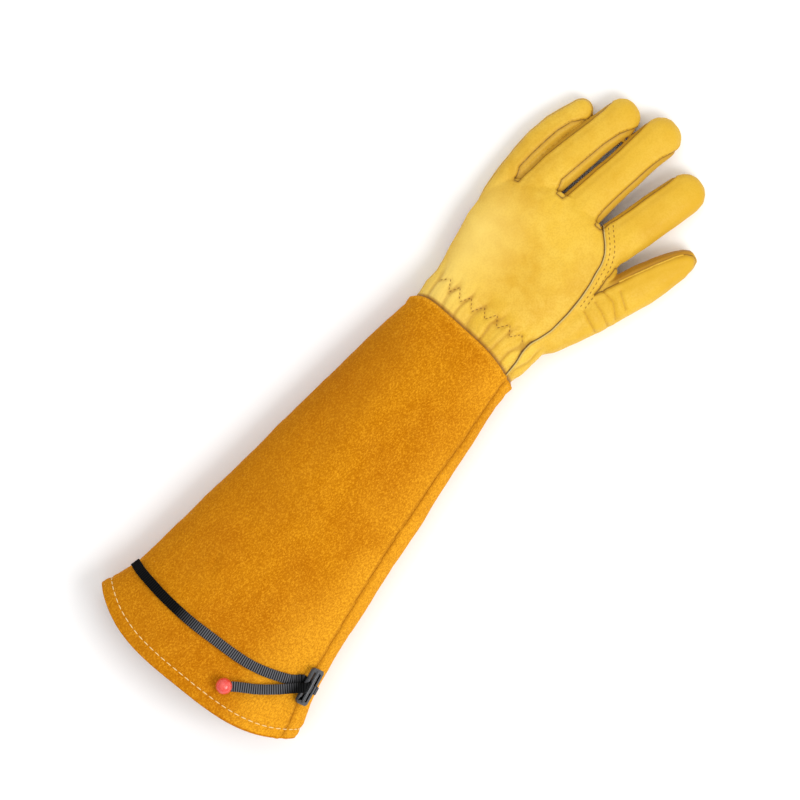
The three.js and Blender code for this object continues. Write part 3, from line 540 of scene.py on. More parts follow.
def backEdge(across):
    curve = np.where(across < 0, cuff["pinkyCurve"], cuff["thumbCurve"])
    return cuff["edgeSide"] - cuff["edgeTilt"] * across + cuff["backRise"] * (1 - np.abs(across) ** curve)


# hand: one blown-up skin over the leather nodes, cut again into its panels
handPanels = {"hand_back": "handBack", "palm": "palmLeather", "ring_front": "ringFront",
              "middle_front": "middleFront", "fork_pinky_ring": "forkPinkyRing",
              "fork_ring_middle": "forkRingMiddle", "fork_middle_index": "forkMiddleIndex",
              "thumb_back": "thumbBack", "thumb_front": "thumbFront"}
handShape = {"closeGap": 0.28 * mm, "voxel": 0.85 * mm, "smooth": 16, "wall": 1.3 * mm, "wristAt": -5.5 * mm,
             "plugAt": (0, -9 * mm, 19 * mm), "plugSize": (110 * mm, 5 * mm, 60 * mm), "farOff": 12 * mm,
             "seek": 8 * mm}

bpy.ops.object.select_all(action="DESELECT")
blank = cadCopy(list(handPanels), "handBlank")
applied(blank, "DISPLACE", strength=handShape["closeGap"], mid_level=0.0, direction="NORMAL")
bpy.ops.object.select_all(action="DESELECT")
bpy.ops.mesh.primitive_cube_add(size=1, location=handShape["plugAt"], scale=handShape["plugSize"])
plug = bpy.context.object
pickOnly(blank)
plug.select_set(True)
bpy.ops.object.join()
applied(blank, "REMESH", mode="VOXEL", voxel_size=handShape["voxel"], adaptivity=0.0)
editAll(blank, lambda: bpy.ops.mesh.separate(type="LOOSE"))
shells = sorted(bpy.context.selected_objects, key=lambda piece: -len(piece.data.vertices))
print("hand shells:", [len(piece.data.vertices) for piece in shells])
skin = max(shells, key=lambda piece: piece.dimensions.y)
for shell in shells:
    if shell is not skin:
        bpy.data.objects.remove(shell)
editAll(skin, lambda: bpy.ops.mesh.bisect(plane_co=(0, handShape["wristAt"], 0), plane_no=(0, 1, 0),
                                          clear_inner=True))
applied(skin, "SMOOTH", factor=0.5, iterations=handShape["smooth"])
print("hand skin:", len(skin.data.vertices), "points")

# which panel each point belongs to, and how far the next panel is
points = pointsOf(skin)
panelNames = list(handPanels)
gaps = np.full((len(panelNames), len(points)), handShape["farOff"])
for row, name in enumerate(panelNames):
    panel = cadCopy([name], "panelProbe")
    surface = surfaceOf(panel)
    for i, point in enumerate(points):
        found = surface.find_nearest(Vector(point), handShape["seek"])
        if found[0] is not None:
            gaps[row, i] = found[3]
    bpy.data.objects.remove(panel)
owner = np.argmin(gaps, axis=0)
ordered = np.sort(gaps, axis=0)
seamAway = np.maximum(0, ordered[1] - ordered[0])
print("panels read")

normals = normalsOf(skin)
plan = points[:, :2] / mm
acrossMm, alongMm = plan.T
onBack = ramp(normals[:, 2], -0.08, 0.32)

# lines of the back, in millimetres across and along
thumbCreases = [[(49, 92), (59, 90.6), (68, 83)], [(50, 83), (57, 81), (68, 76)], [(58, 99), (69, 92)],
                [(48, 74), (55, 71), (63, 68)]]
zigzag = [(-36.5, 29), (-31.7, 34.4), (-27.2, 26.7), (-23.3, 33.7), (-17.8, 26.1), (-13.3, 33.3),
          (-7.8, 26.1), (-3, 34.4), (2, 28), (6.7, 35.6), (11.7, 28.6), (17, 36.1), (21.7, 29.4),
          (27, 36.1), (32.2, 30.6)]
crotches = [(-42.2, 113.3), (-13.3, 122), (18.9, 124)]

handWaves = [(0.55, 26, 3.1), (0.22, 9, 7.7)]  # high, size, seed
hollow = {"at": (2, 90), "wide": 20, "deep": 1.3}
crease = {"deep": 0.95, "wide": 1.0, "bankHigh": 0.4, "bankAway": 3, "bankWide": 2}
gather = {"deep": 0.95, "pitch": 10, "shift": 3, "sharp": 1.8, "fan": 0.006, "wander": 4.5, "wanderSize": 17,
          "fineDeep": 0.3, "finePitch": 4.1, "fineShift": 1.2}
elastic = {"deep": 0.55, "wide": 1.3}
pucker = {"deep": 0.3, "away": 7, "wide": 6, "rays": 4}
seamForm = {"deep": 0.6, "wide": 0.65, "bankHigh": 0.4, "bankAway": 2.2, "bankWide": 1.4, "soft": 3.2}

swell = waves(points, handWaves)
swell -= hollow["deep"] * onBack * bell(np.linalg.norm(plan - hollow["at"], axis=1), hollow["wide"])
rise = np.zeros(len(points))
for line in thumbCreases:
    away = distanceTo(plan, line)
    rise -= crease["deep"] * onBack * bell(away, crease["wide"])
    rise += crease["bankHigh"] * onBack * bell(away - crease["bankAway"], crease["bankWide"])
fan = 1 - gather["fan"] * (alongMm - 6)  # the gathers spread towards the hand
gatherX = acrossMm * fan + gather["wander"] * noiseAt(points, gather["wanderSize"] * mm, 1.3)
gathered = onBack * ramp(alongMm, 4, 12) * ramp(alongMm, 46, 32)
wave = 1 - np.abs(np.sin(np.pi * (gatherX + gather["shift"]) / gather["pitch"]))
rise -= gather["deep"] * gathered * wave ** gather["sharp"]
wave = 1 - np.abs(np.sin(np.pi * (gatherX + gather["fineShift"]) / gather["finePitch"]))
rise -= gather["fineDeep"] * gathered * wave ** 2
rise -= elastic["deep"] * onBack * bell(distanceTo(plan, zigzag), elastic["wide"])
for x, y in crotches:
    away, turn = np.hypot(acrossMm - x, alongMm - y), np.arctan2(alongMm - y, acrossMm - x)
    rays = (1 - np.abs(np.sin(turn * pucker["rays"] + x))) ** 2
    rise -= pucker["deep"] * onBack * bell(away - pucker["away"], pucker["wide"]) * rays
folds = np.maximum(0, -rise)

# the seams lie in grooves, except where the leather runs smoothly into the back of the thumb
seamMm = seamAway / mm
nearest = np.sort(np.argsort(gaps, axis=0)[:2], axis=0)
softPair = (nearest[0] == panelNames.index("palm")) & (nearest[1] == panelNames.index("thumb_back"))
softPair &= (alongMm < 94) & (normals[:, 2] > 0)
seamMm[softPair] = np.maximum(seamMm[softPair], seamForm["soft"])
uneven = 0.6 + 0.4 * noiseAt(points, 2.2 * mm, 5.5)
rise -= seamForm["deep"] * uneven * bell(seamMm, seamForm["wide"])
rise += seamForm["bankHigh"] * bell(seamMm - seamForm["bankAway"], seamForm["bankWide"])
points = points + normals * ((rise + swell) * mm)[:, None]
points[:, 2] = np.maximum(points[:, 2], 0.15 * mm)
setPoints(skin, points)

# where the leather is deeper, where a painted highlight lightens it and where painted shade darkens it
tone = 0.5 * ramp(alongMm, 88, 148) * np.maximum(0.3, ramp(acrossMm, -60, -10))
tone += 0.35 * ramp(acrossMm, 50, 58)
# painted highlight on the upward-facing back, towards the little finger
paintedHighlight = 0.55 * ramp(normals[:, 2], 0.3125, 0.9375) * ramp(acrossMm, -2, -36) * ramp(alongMm, 112, 72)
indexWay = np.clip(3 * (-0.93 * normals[:, 0] + 0.36 * normals[:, 1]), 0, 1)
onThumbFront = (owner == panelNames.index("thumb_front")) & (normals[:, 2] > -0.3)
thumbShade = 0.75 * onThumbFront * indexWay * ramp(alongMm, 96, 103)
isFork = np.isin(owner, [row for row, name in enumerate(panelNames) if name.startswith("fork")])
forkShade = 0.35 * isFork * ramp(points[:, 2] / mm, 24, 10)
pastCuff = alongMm - backEdge(np.clip(acrossMm / (cuff["wristWidth"] / 2), -1, 1))
cuffShade = 0.7 * onBack * ramp(pastCuff, 3.2, 1.6)
# painted shadow line on the leather just past the cuff's wrist edge
cuffShadowLine = np.where(onBack > 0.3, np.maximum(0, pastCuff - 1.2), 12)
# depth of the creases, gathers and grooves, for the painted shade in them
setValues(skin, "dent", folds)
setValues(skin, "tone", tone)
setValues(skin, "paintedHighlight", paintedHighlight)
setValues(skin, "shaded", np.maximum(np.maximum(thumbShade, cuffShade), forkShade))
# the seam distance also carries the painted shadow line beside the cuff
setValues(skin, "seam", np.minimum(np.minimum(seamMm, 12), cuffShadowLine))
print("hand creased")

# cut into panels, one material each, then give them their thickness
skin.data.materials.clear()
for name in panelNames:
    skin.data.materials.append(forkShadedHide if name.startswith("fork") else hide)
setValues(skin, "panel", owner)
facePanel = np.array([owner[face.vertices[0]] for face in skin.data.polygons], dtype=np.int32)
skin.data.polygons.foreach_set("material_index", facePanel)
handSurface = surfaceOf(skin)
skinPoints, skinNormals = pointsOf(skin), normalsOf(skin)
for piece in cutByMaterial(skin):
    name = panelNames[round(valuesOf(piece, "panel")[piece.data.polygons[0].vertices[0]])]
    applied(piece, "SOLIDIFY", thickness=handShape["wall"], offset=-1.0, use_rim=True)
    bpy.ops.object.shade_smooth_by_angle(angle=math.radians(50))
    finished(piece, handPanels[name], forkShadedHide if name.startswith("fork") else hide, [name])
print("hand panels made")


# cuff: a rolled sheet of suede between its sections
cuffRows = np.array([  # along, left, right, high, gusset
    (0, 0, 0, 0, 0.3), (0.06, 0.046, 0.014, 0.05, 0.26), (0.17, 0.16, 0.13, 0.15, 0.32),
    (0.3, 0.25, 0.24, 0.28, 0.4), (0.45, 0.354, 0.376, 0.42, 0.45), (0.6, 0.45, 0.507, 0.56, 0.4),
    (0.75, 0.567, 0.654, 0.7, 0.35), (0.85, 0.657, 0.768, 0.8, 0.32), (0.91, 0.719, 0.866, 0.87, 0.32),
    (0.96, 0.839, 1, 0.94, 0.35), (1, 0.948, 1.049, 1, 0.35)])


def cuffColumn(index, share):
    return np.interp(share, cuffRows[:, 0], cuffRows[:, index])


def cuffSection(share):
    flare = (cuff["hemWidth"] - cuff["wristWidth"]) / 2
    left = -cuff["wristWidth"] / 2 - flare * cuffColumn(1, share)
    right = cuff["wristWidth"] / 2 + flare * cuffColumn(2, share)
    high = cuff["wristHeight"] + (cuff["hemHeight"] - cuff["wristHeight"]) * cuffColumn(3, share)
    return (left + right) / 2, (right - left) / 2, high, high * cuff["waist"]


def cuffPlace(turn, share, inset=0.0):
    c, s = np.cos(turn), np.sin(turn)
    power = np.where(s >= 0, cuff["overPower"], cuff["underPower"])
    across = np.sign(c) * np.abs(c) ** (2 / power)
    up = np.sign(s) * np.abs(s) ** (2 / power)
    middle, half, high, waist = cuffSection(share)
    away = np.abs(across)
    palmEdge = cuff["edgeSide"] - cuff["edgeTilt"] * across
    palmEdge = palmEdge + cuff["palmRise"] * (1 - away ** cuff["palmCurve"])
    edge = np.where(up < 0, palmEdge, backEdge(across))
    hem = cuff["edgeSide"] - cuff["length"] + cuff["hemTilt"] * across
    hem = hem - cuff["hemBulge"] * (1 - away ** cuff["hemCurve"])
    z = waist + np.where(up >= 0, (high - waist - inset) * up, (waist * cuff["restFlatness"] - inset) * up)
    x = middle + (half - inset) * across
    y = edge + (hem - edge) * share
    return np.stack([x, y, np.maximum(inset, z)], axis=-1) * mm


bpy.ops.object.select_all(action="DESELECT")
bpy.ops.mesh.primitive_grid_add(x_subdivisions=cuff["stepsAround"], y_subdivisions=cuff["stepsAlong"], size=2)
cuffSkin = bpy.context.object
flat = pointsOf(cuffSkin)
turn = (1 - (flat[:, 0] + 1) / 2) * 2 * np.pi
share = (flat[:, 1] + 1) / 2
points = cuffPlace(turn, share)
middle, half, high, waist = cuffSection(share)
gussetWide = cuff["gussetShow"] * cuffColumn(4, share)
setPoints(cuffSkin, points)
setValues(cuffSkin, "share", share)
setValues(cuffSkin, "side", points[:, 0] / mm - (middle + half - gussetWide))
editAll(cuffSkin, lambda: bpy.ops.mesh.remove_doubles(threshold=1e-5),
        lambda: bpy.ops.mesh.normals_make_consistent(inside=False))
points, normals = pointsOf(cuffSkin), normalsOf(cuffSkin)
share, side = valuesOf(cuffSkin, "share"), valuesOf(cuffSkin, "side")
offCentre = points[:, 0] / mm - cuffSection(share)[0]
if (offCentre * normals[:, 0]).sum() < 0:
    editAll(cuffSkin, lambda: bpy.ops.mesh.flip_normals())
    normals = normalsOf(cuffSkin)
fromHem, fromEdge = (1 - share) * cuff["length"], share * cuff["length"]
hemSeamAt = 6.5
cuffWaves = [(0.9, 48, 2.2), (0.45, 17, 9.1), (0.15, 5, 4.4)]  # high, size, seed
cuffRidges = [  # measured from, at, wide, high: gusset seam, turned hem, turned edge at the wrist
    (side, 0, 0.9, -0.7), (side, 2.6, 1.4, 0.3), (side, -2.4, 1.6, 0.8),
    (fromHem, hemSeamAt, 1.0, -0.55), (fromHem, 3.3, 2.2, 0.45),
    (fromEdge, 1.5, 2.2, 0.5), (fromEdge, 6, 1.6, -0.35)]
strapLine = [(-72.2, -236), (-60, -239.7), (-45.6, -242.4), (-30, -243.7), (-12.2, -243.9), (4.4, -243.4),
             (21.1, -242), (37.8, -239), (48.9, -236), (60, -231.8)]
foldLine = [(-33, -198), (-30, -206), (-28, -212)]
rise = waves(points, cuffWaves)
for measured, at, wide, high in cuffRidges:
    rise += high * bell(measured - at, wide)
onTop = points[:, 2] > 20 * mm
for line, wide, deep in ((strapLine, 4.5, 0.7), (foldLine, 2.2, 0.6)):
    rise -= deep * onTop * bell(distanceTo(points[:, :2] / mm, line), wide)
offFloor = np.clip(points[:, 2] / (6 * mm), 0, 1)
points = points + normals * (rise * mm * offFloor)[:, None]
setPoints(cuffSkin, points)

# painted shade at the little-finger side (above 0), painted light at the thumb side and along the wrist edge
# (below 0)
hemSeamAway = np.abs(fromHem - hemSeamAt)
setValues(cuffSkin, "seam", np.minimum(np.minimum(np.abs(side), hemSeamAway * 1.6 + 0.8), 12))
middle = cuffSection(share)[0]
paintedShading = 0.5 - (points[:, 0] / mm - middle + 18) / 45 + 0.35 * noiseAt(points, 30 * mm, 6.2)
paintedShade = np.clip(paintedShading, 0, 1) * np.clip(1.15 - share * 0.75, 0, 1) * np.clip(share * 8, 0.35, 1)
sunny = np.clip(paintedShading + 0.22, -1, 0)
setValues(cuffSkin, "paintedShading", paintedShade + sunny - 0.7 * bell(fromEdge - 1.6, 1.3))
cuffSurface = surfaceOf(cuffSkin)

cuffSkin.data.materials.clear()
cuffSkin.data.materials.append(cuffSuede)
cuffSkin.data.materials.append(cuffSuede)
isGusset = [side[face.vertices[0]] > 0 for face in cuffSkin.data.polygons]
cuffSkin.data.polygons.foreach_set("material_index", np.array(isGusset, dtype=np.int32))
for piece in cutByMaterial(cuffSkin):
    isStrip = valuesOf(piece, "side")[piece.data.polygons[0].vertices[0]] > 0
    applied(piece, "SOLIDIFY", thickness=cuff["wall"] * mm, offset=-1.0, use_rim=True)
    applied(piece, "BEVEL", width=0.6 * mm, segments=2, limit_method="ANGLE", angle_limit=math.radians(55))
    title, node = ("cuffGusset", "cuff_gusset") if isStrip else ("cuffPanel", "cuff_panel")
    finished(piece, title, cuffSuede, [node])
print("cuff made")


# turned edge at the wrist and rounded hem edge, which follow the waves of the suede
# the wrist edge gets painted light, the hem edge a little painted shade
cuffEdges = {
    "cuffWristEdge": {"share": 0.004, "wide": 3.0, "high": 2.7, "lowest": 1.5, "seam": 3.0, "paintedShading": -0.6},
    "cuffHemEdge": {"share": 0.9993, "wide": 2.5, "high": 2.25, "lowest": 1.3, "seam": 6.0, "paintedShading": 0.1}}
edgeSteps = 260
edgeInset = 1.05 * mm


def cuffLoop(share):
    turns = np.linspace(0, 2 * np.pi, edgeSteps, endpoint=False)
    points = cuffPlace(turns, np.full(edgeSteps, share), 1.0)
    out = points - cuffPlace(turns, np.full(edgeSteps, share), 3.0)
    out[:, 2] = np.where(np.linalg.norm(out, axis=1) < 1e-6, -1, out[:, 2])
    out = unit(out)
    for i, (point, way) in enumerate(zip(points, out)):
        onSuede = cuffSurface.find_nearest(Vector(point + way * mm), 6 * mm)[0]
        if onSuede is not None:
            points[i] = np.array(onSuede) - way * edgeInset
    ahead = unit(np.roll(points, -1, axis=0) - np.roll(points, 1, axis=0))
    return points, ahead, out


for title, look in cuffEdges.items():
    points, ahead, out = cuffLoop(look["share"])
    points[:, 2] = np.maximum(points[:, 2], look["lowest"] * mm)
    profile = roundProfile(look["wide"] * mm, look["high"] * mm)
    edge = swept(title, points, np.cross(ahead, out), out, profile, True)
    for name in ("seam", "paintedShading"):
        setValues(edge, name, np.full(len(edge.data.vertices), look[name]))
    finished(edge, title, cuffSuede)

# cream row round the hem
hemStitch = {"length": 4.1 * mm, "gap": 0.9 * mm, "thick": 0.7 * mm, "lift": 0.12 * mm, "dip": 0.3 * mm}


def hemRow(start, stop, count):
    spots, outs = [], []
    middle = cuffSection(np.array([0.97]))[0][0] * mm
    for turn in np.linspace(start, stop, count):
        place = cuffPlace(np.array([turn]), np.array([1 - hemSeamAt / cuff["length"]]))[0]
        found = cuffSurface.find_nearest(Vector(place), 6 * mm)
        if found[0] is not None:
            normal = np.array(found[1])
            if normal @ (place - np.array([middle, place[1], 22 * mm])) < 0:
                normal = -normal
            spots.append(np.array(found[0]))
            outs.append(normal)
    return np.array(spots), np.array(outs)


stitchPiece("hemStitches", [hemRow(0.02, 2 * math.pi - 0.02, 400)], hemStitch, creamThread)
print("hem stitched")


# seams and stitches of the hand
backSeam = [(21.1, 125), (25.6, 120), (30, 116), (34.4, 110.6), (36.9, 104), (37.8, 97), (39.4, 90),
            (40.6, 79), (40.8, 66), (39.4, 50), (36.7, 41), (34.4, 35.6), (33.9, 27.8), (35.3, 20),
            (35.3, 9)]


def shifted(path, amount):
    path = np.asarray(path, float)
    ahead = unit(np.gradient(path, axis=0))
    return path + np.stack([-ahead[:, 1], ahead[:, 0]], axis=1) * amount


def onHand(path, fromAbove=True, lift=0.0, step=0.8):
    return dropped(handSurface, rounded(np.asarray(path, float) * mm, step * mm), fromAbove, lift * mm)


def ribbonOn(title, path, width, height, material, fromAbove=True, lift=0.0):
    points, normals = onHand(path, fromAbove, lift)
    sides, ups = framesAlong(points, normals)
    piece = swept(title, points, sides, ups, roundProfile(width * mm, height * mm, 8))
    return finished(piece, title, material)


backPath = rounded(backSeam, 1.0, 6)
ribbonOn("backSeamEdge", shifted(backPath, 0.95), 0.85, 0.7, rawEdge, lift=0.0)
# painted shadow along the back seam
ribbonOn("backSeamShadow", shifted(backPath, 0.2), 0.75, 0.5, seamShadowStrip, lift=0.05)
seamStitch = {"length": 2.3 * mm, "gap": 1.2 * mm, "thick": 0.6 * mm, "lift": 0.02 * mm, "dip": 0.2 * mm}
doubleRows = []
for away in (3.9, 7.0):
    row = rounded(shifted(backPath, away), 1.0, 4)
    doubleRows.append(onHand(row[:62]))
stitchPiece("backSeamStitches", doubleRows, seamStitch, tanThread)

# stitches along the seams of the fingers, which are looked up on the skin near these points of the back
fingerSeams = [
    [(-42.8, 120.6), (-43.7, 130.6), (-43, 141.7), (-41.7, 151.7), (-38.9, 162.8), (-35.6, 170.6)],
    [(-17.2, 127), (-17.2, 130.6), (-16.1, 141.7), (-14.4, 152.8), (-12.2, 165), (-9.4, 176), (-6.7, 184)],
    [(-9.4, 126), (-8.6, 128.3), (-7.2, 137)],
    [(14.9, 129), (15.6, 134), (17.2, 141.7), (18.9, 155), (20, 168.3), (21.7, 181.7), (23.3, 192.8)],
    [(23.9, 130.6), (26.1, 138.3), (28.9, 148.3), (32.2, 159.4), (36.7, 171.7)]]
thumbPiping = [(52.5, 103), (55.6, 108.3), (61.1, 118.3), (66.7, 128.3), (70, 137.2), (74.4, 144)]
seamSpots = np.flatnonzero(seamMm < 0.5)
seamTree = KDTree(len(seamSpots))
for spot in seamSpots:
    seamTree.insert(Vector(skinPoints[spot]), int(spot))
seamTree.balance()


def seamPath(guide, aside):
    points, normals = onHand(guide)
    found = [seamTree.find(Vector(p)) for p in points]
    keep = [spot for _, spot, away in found if away < 5 * mm]
    path, outs = eased(skinPoints[keep], 6), eased(skinNormals[keep], 6)
    sides, ups = framesAlong(path, outs)
    return path + sides * aside * mm, ups


fingerStitch = {"length": 1.5 * mm, "gap": 1.2 * mm, "thick": 0.42 * mm, "lift": 0.05 * mm, "dip": 0.1 * mm}
asides = (-1.0, -1.0, 1.0, -1.0, 1.0)
stitchPiece("fingerStitches", [seamPath(guide, aside) for guide, aside in zip(fingerSeams, asides)],
            fingerStitch, tanThread)
path, outs = seamPath(thumbPiping, 0.0)
sides, ups = framesAlong(path, outs)
piping = swept("thumbPiping", path, sides, ups, roundProfile(1.3 * mm, 1.2 * mm, 8))
for name, value in (("seam", 3.0), ("dent", 0.0), ("paintedHighlight", 0.0)):
    setValues(piping, name, np.full(len(piping.data.vertices), value))
finished(piping, "thumbPiping", hide)

# palm side: raw edge along the bases of the finger fronts, and two rows round the thumb
frontBase = [(-38, 99.5), (-25, 103.8), (-12.1, 108), (4, 108.2), (18, 108.4)]
thumbRound = [(36.2, 102.9), (27, 93), (21.9, 79.4), (17.3, 67), (10.2, 53.3), (7.1, 42.2), (9.7, 32.2),
              (18.4, 24.8), (31.6, 23.6), (44, 25)]
basePath = rounded(frontBase, 1.0, 4)
ribbonOn("frontBaseEdge", shifted(basePath, -0.6), 1.2, 0.8, rawEdge, False)
palmRows = [onHand(shifted(basePath, -2.8), False)]
thumbLine = rounded(thumbRound, 1.0, 4)
palmRows += [onHand(shifted(thumbLine, -away), False) for away in (2.6, 5.8)]
stitchPiece("palmStitches", palmRows, seamStitch, tanThread)
elasticStitch = {"length": 1.9 * mm, "gap": 0.9 * mm, "thick": 0.5 * mm, "lift": 0.05 * mm, "dip": 0.15 * mm}
zigRows = [onHand([a, b], step=0.7) for a, b in zip(zigzag[:-1], zigzag[1:])]
stitchPiece("wristElasticStitches", zigRows, elasticStitch, tanThread)
print("hand stitched")


# palm patch
patch = cadCopy(["palm_patch"], "palmPatch")
applied(patch, "REMESH", mode="VOXEL", voxel_size=0.7 * mm, adaptivity=0.0)
applied(patch, "SMOOTH", factor=0.5, iterations=3)
points, normals = pointsOf(patch), normalsOf(patch)
points += normals * (0.15 * mm * noiseAt(points, 6 * mm, 8.8))[:, None]
points[:, 2] = np.maximum(points[:, 2], 0.02 * mm)
setPoints(patch, points)
setValues(patch, "seam", np.full(len(points), 9.0))
setValues(patch, "paintedShading", np.zeros(len(points)))
shadeSmooth(patch)
finished(patch, "palmPatch", patchSuede, ["palm_patch"])
patchSurface = surfaceOf(patch)
patchRound = [(-46, 80), (-39.5, 86), (-27, 92), (-12, 96), (5, 97.4), (16, 96.9), (22.5, 94), (22, 90),
              (18, 85.5), (6.6, 78), (-10.4, 70.3), (-24.8, 61.7), (-34, 54), (-43, 47), (-46, 46)]
patchRow = dropped(patchSurface, rounded(np.array(patchRound) * mm, 0.8 * mm, 4), False)
patchStitch = dict(seamStitch, length=2.6 * mm, thick=0.7 * mm)
stitchPiece("patchStitches", [patchRow], patchStitch, creamThread)


# strap, tab, slide and bead
def ringsOf(name):
    probe = cadCopy([name], "bandProbe")
    mesh = bmesh.new()
    mesh.from_mesh(probe.data)
    mesh.verts.ensure_lookup_table()
    caps = [v for v in mesh.verts if len(v.link_edges) == 4]
    level = {caps[0].index: 0}
    ring = [caps[0]]
    rings = []
    while ring:
        nextRing = []
        for vert in ring:
            for edge in vert.link_edges:
                other = edge.other_vert(vert)
                if other.index not in level:
                    level[other.index] = level[vert.index] + 1
                    nextRing.append(other)
        if len(nextRing) == 4:
            rings.append(np.array([v.co[:] for v in nextRing]))
        ring = nextRing
    mesh.free()
    bpy.data.objects.remove(probe)
    return rings


def bandMaterial(title):
    material, tree, shader, place = newMaterial(title)
    rib = attribute(tree, "rib")
    weave = noiseNode(tree, place, 1900, 2.0)
    # painted highlight: the rib crests are lighter grey
    base = mixNode(tree, rib, colour("#101012"), colour("#78787C"))
    base = mixNode(tree, mathNode(tree, "MULTIPLY", weave, 0.35), base, colour("#131316"))
    # painted shadow: near black at the strap's left end and by the slide
    base = mixNode(tree, attribute(tree, "strapShadow"), base, colour("#020202"))
    tree.links.new(base, shader.inputs["Base Color"])
    tree.links.new(rangeNode(tree, rib, 0.0, 1.0, 0.9, 0.62), shader.inputs["Roughness"])
    shader.inputs["Specular IOR Level"].default_value = 0.08
    bumped(tree, shader, weave, 0.5, 0.00015)
    return material


ribbedBand = bandMaterial("ribbedElastic")


def band(title, name, look):
    rings = ringsOf(name)
    centres = np.array([ring.mean(axis=0) for ring in rings])
    sides = []
    for ring in rings:
        spans = [ring[j] - ring[i] for i in range(4) for j in range(i + 1, 4)]
        flat = sorted(spans, key=lambda v: np.linalg.norm(v))[2]  # after the two thin sides comes a wide one
        flat = flat / np.linalg.norm(flat)
        if sides and flat @ sides[-1] < 0:
            flat = -flat
        sides.append(flat)
    lengths = lengthsOf(centres)
    print(title, "is", round(lengths[-1] / mm), "mm long")
    at = np.arange(0, lengths[-1], look["step"])
    line = eased(readAt(at, lengths, centres))
    ahead = unit(np.gradient(line, axis=0))
    wide = readAt(at, lengths, np.array(sides))
    wide = unit(wide - ahead * (wide * ahead).sum(axis=1)[:, None])
    ups = np.cross(wide, ahead)
    half, thick = look["width"] / 2, look["thick"] / 2
    profile = [(half, 0), (half * 0.94, thick * 0.7), (half * 0.8, thick), (half * 0.4, thick), (0, thick),
               (-half * 0.4, thick), (-half * 0.8, thick), (-half * 0.94, thick * 0.7), (-half, 0),
               (-half * 0.94, -thick * 0.7), (-half * 0.8, -thick), (0, -thick), (half * 0.8, -thick),
               (half * 0.94, -thick * 0.7)]
    wave = 0.5 + 0.5 * np.cos(2 * np.pi * at / look["rib"])
    piece = swept(title, line, wide, ups, profile, sizes=1 - 0.05 * (1 - wave))
    points = pointsOf(piece)
    around = len(profile)
    lift = (wave - 0.5) * look["ribHigh"]
    for i in range(len(line)):
        points[i * around:(i + 1) * around] += np.outer([p[1] / thick for p in profile], ups[i]) * lift[i]
    setPoints(piece, points)
    # rib crests, for the painted highlight
    setValues(piece, "rib", np.repeat(wave, around) ** 2)
    # painted shadow towards the strap's left end and near the slide
    nearSlide = ramp(points[:, 0], look["shadowFrom"], look["shadowFrom"] + 8 * mm)
    shade = np.maximum(ramp(points[:, 0], -6 * mm, -30 * mm), nearSlide)
    setValues(piece, "strapShadow", 0.97 * shade)
    return finished(piece, title, ribbedBand, [name])


band("strapBand", "strap", {"width": 6.8 * mm, "thick": 1.25 * mm, "step": 0.3 * mm, "rib": 1.5 * mm,
                            "ribHigh": 0.26 * mm, "shadowFrom": 54 * mm})
band("buckleTab", "buckle_tab", {"width": 5.7 * mm, "thick": 1.2 * mm, "step": 0.3 * mm, "rib": 1.5 * mm,
                                 "ribHigh": 0.2 * mm, "shadowFrom": 90 * mm})


def plasticMaterial(title, main, shade, rough, coat):
    material, tree, shader, place = newMaterial(title)
    scuffs = noiseNode(tree, place, 330, 4.0, 0.7)
    speck = noiseNode(tree, place, 1700, 2.0)
    tree.links.new(mixNode(tree, rangeNode(tree, scuffs, 0.35, 0.7), colour(main), colour(shade)),
                   shader.inputs["Base Color"])
    tree.links.new(rangeNode(tree, scuffs, 0.3, 0.7, rough, rough + 0.15), shader.inputs["Roughness"])
    shader.inputs["Coat Weight"].default_value = coat
    shader.inputs["Coat Roughness"].default_value = 0.15
    bumped(tree, shader, speck, 0.12, 0.0001)
    return material


slidePlastic = plasticMaterial("slidePlastic", "#26272A", "#3A3B3F", 0.3, 0.2)
beadPlastic = plasticMaterial("beadPlastic", "#D8352C", "#E4564A", 0.22, 0.6)

slide = cadCopy(["strap_buckle"], "strapBuckle")
editAll(slide, lambda: bpy.ops.mesh.dissolve_limited(angle_limit=math.radians(2)))
applied(slide, "BEVEL", width=0.32 * mm, segments=3, limit_method="ANGLE", angle_limit=math.radians(40))
pickOnly(slide)
bpy.ops.object.shade_smooth_by_angle(angle=math.radians(35))
finished(slide, "strapBuckle", slidePlastic, ["strap_buckle"])

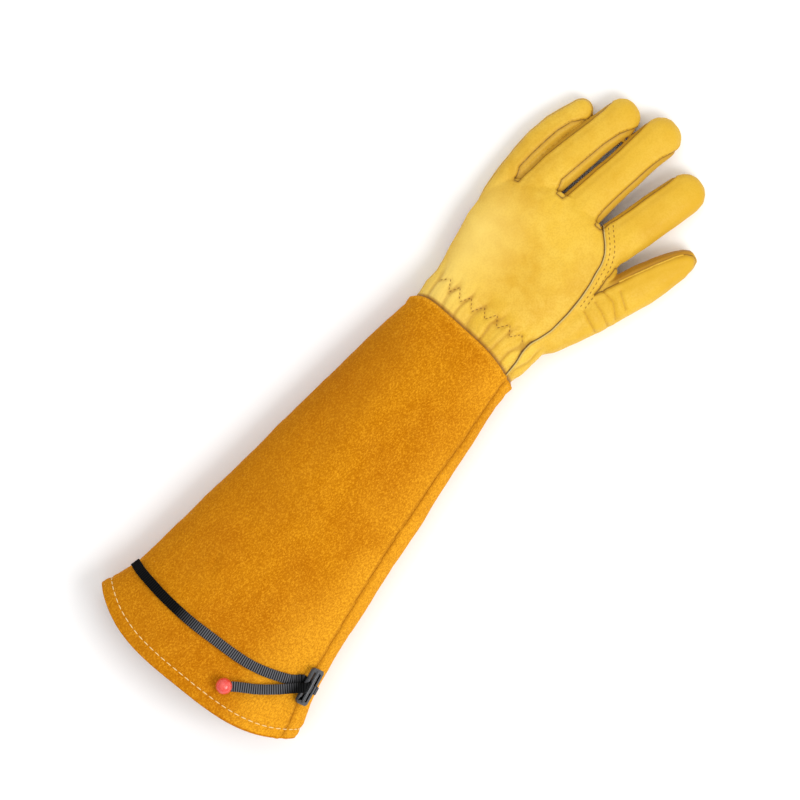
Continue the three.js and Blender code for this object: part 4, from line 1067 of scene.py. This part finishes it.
beadLow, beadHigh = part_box("strap_bead")
beadMiddle = (Vector(beadLow) + Vector(beadHigh)) / 2
bpy.ops.object.select_all(action="DESELECT")
bpy.ops.mesh.primitive_uv_sphere_add(segments=48, ring_count=28, radius=5.4 * mm, location=beadMiddle)
bead = bpy.context.object
pickOnly(bead)
bpy.ops.object.transform_apply(location=True, rotation=True, scale=True)
points = pointsOf(bead)
centre = np.array(beadMiddle)
points = centre + (points - centre) * (1 + 0.012 * noiseAt(points, 7 * mm, 2.0))[:, None]
setPoints(bead, points)
shadeSmooth(bead)
finished(bead, "strapBead", beadPlastic, ["strap_bead"])
print("strap made")


# floor, light, camera
bpy.ops.object.select_all(action="DESELECT")
bpy.ops.mesh.primitive_plane_add(size=6, location=(0, 0, -0.0002))
floor = bpy.context.object
floor.name = "floor"
floorPaint, tree, shader, place = newMaterial("floorPaint")
shader.inputs["Base Color"].default_value = (0.93, 0.93, 0.93, 1)
shader.inputs["Roughness"].default_value = 0.9
floor.data.materials.append(floorPaint)

world = bpy.data.worlds.new("studio")
bpy.context.scene.world = world
world.use_nodes = True
world.node_tree.nodes["Background"].inputs["Color"].default_value = (1, 1, 1, 1)
world.node_tree.nodes["Background"].inputs["Strength"].default_value = 0.8
bpy.context.scene.view_settings.view_transform = "Standard"


def softbox(title, spot, aim, size, power):
    data = bpy.data.lights.new(title, "AREA")
    data.shape = "RECTANGLE"
    data.size, data.size_y = size
    data.energy = power
    lamp = bpy.data.objects.new(title, data)
    bpy.context.collection.objects.link(lamp)
    lamp.location = spot
    lamp.rotation_euler = (Vector(aim) - Vector(spot)).to_track_quat("-Z", "Y").to_euler()
    return lamp


lights = {"key": ((0.95, 0.0, 1.3), (0.9, 0.9), 15), "fill": ((-0.8, 0.4, 1.5), (1.4, 1.4), 5.5)}
for title, (spot, size, power) in lights.items():
    softbox(title, spot, (0, -0.04, 0.02), size, power)

# long lens straight above, turned so that the hand points to the upper right
shot = {"turn": 40, "across": -6.3, "along": -47.3, "wide": 520, "lens": 250, "sensor": 36, "height": 25}
camera = bpy.data.cameras.new("camera")
camera.lens = shot["lens"]
camera.sensor_width = shot["sensor"]
camera.clip_end = 50
cameraObject = bpy.data.objects.new("camera", camera)
bpy.context.collection.objects.link(cameraObject)
away = shot["wide"] * shot["lens"] / shot["sensor"] + shot["height"]
cameraObject.location = (shot["across"] * mm, shot["along"] * mm, away * mm)
cameraObject.rotation_euler = (0, 0, math.radians(shot["turn"]))
bpy.context.scene.camera = cameraObject
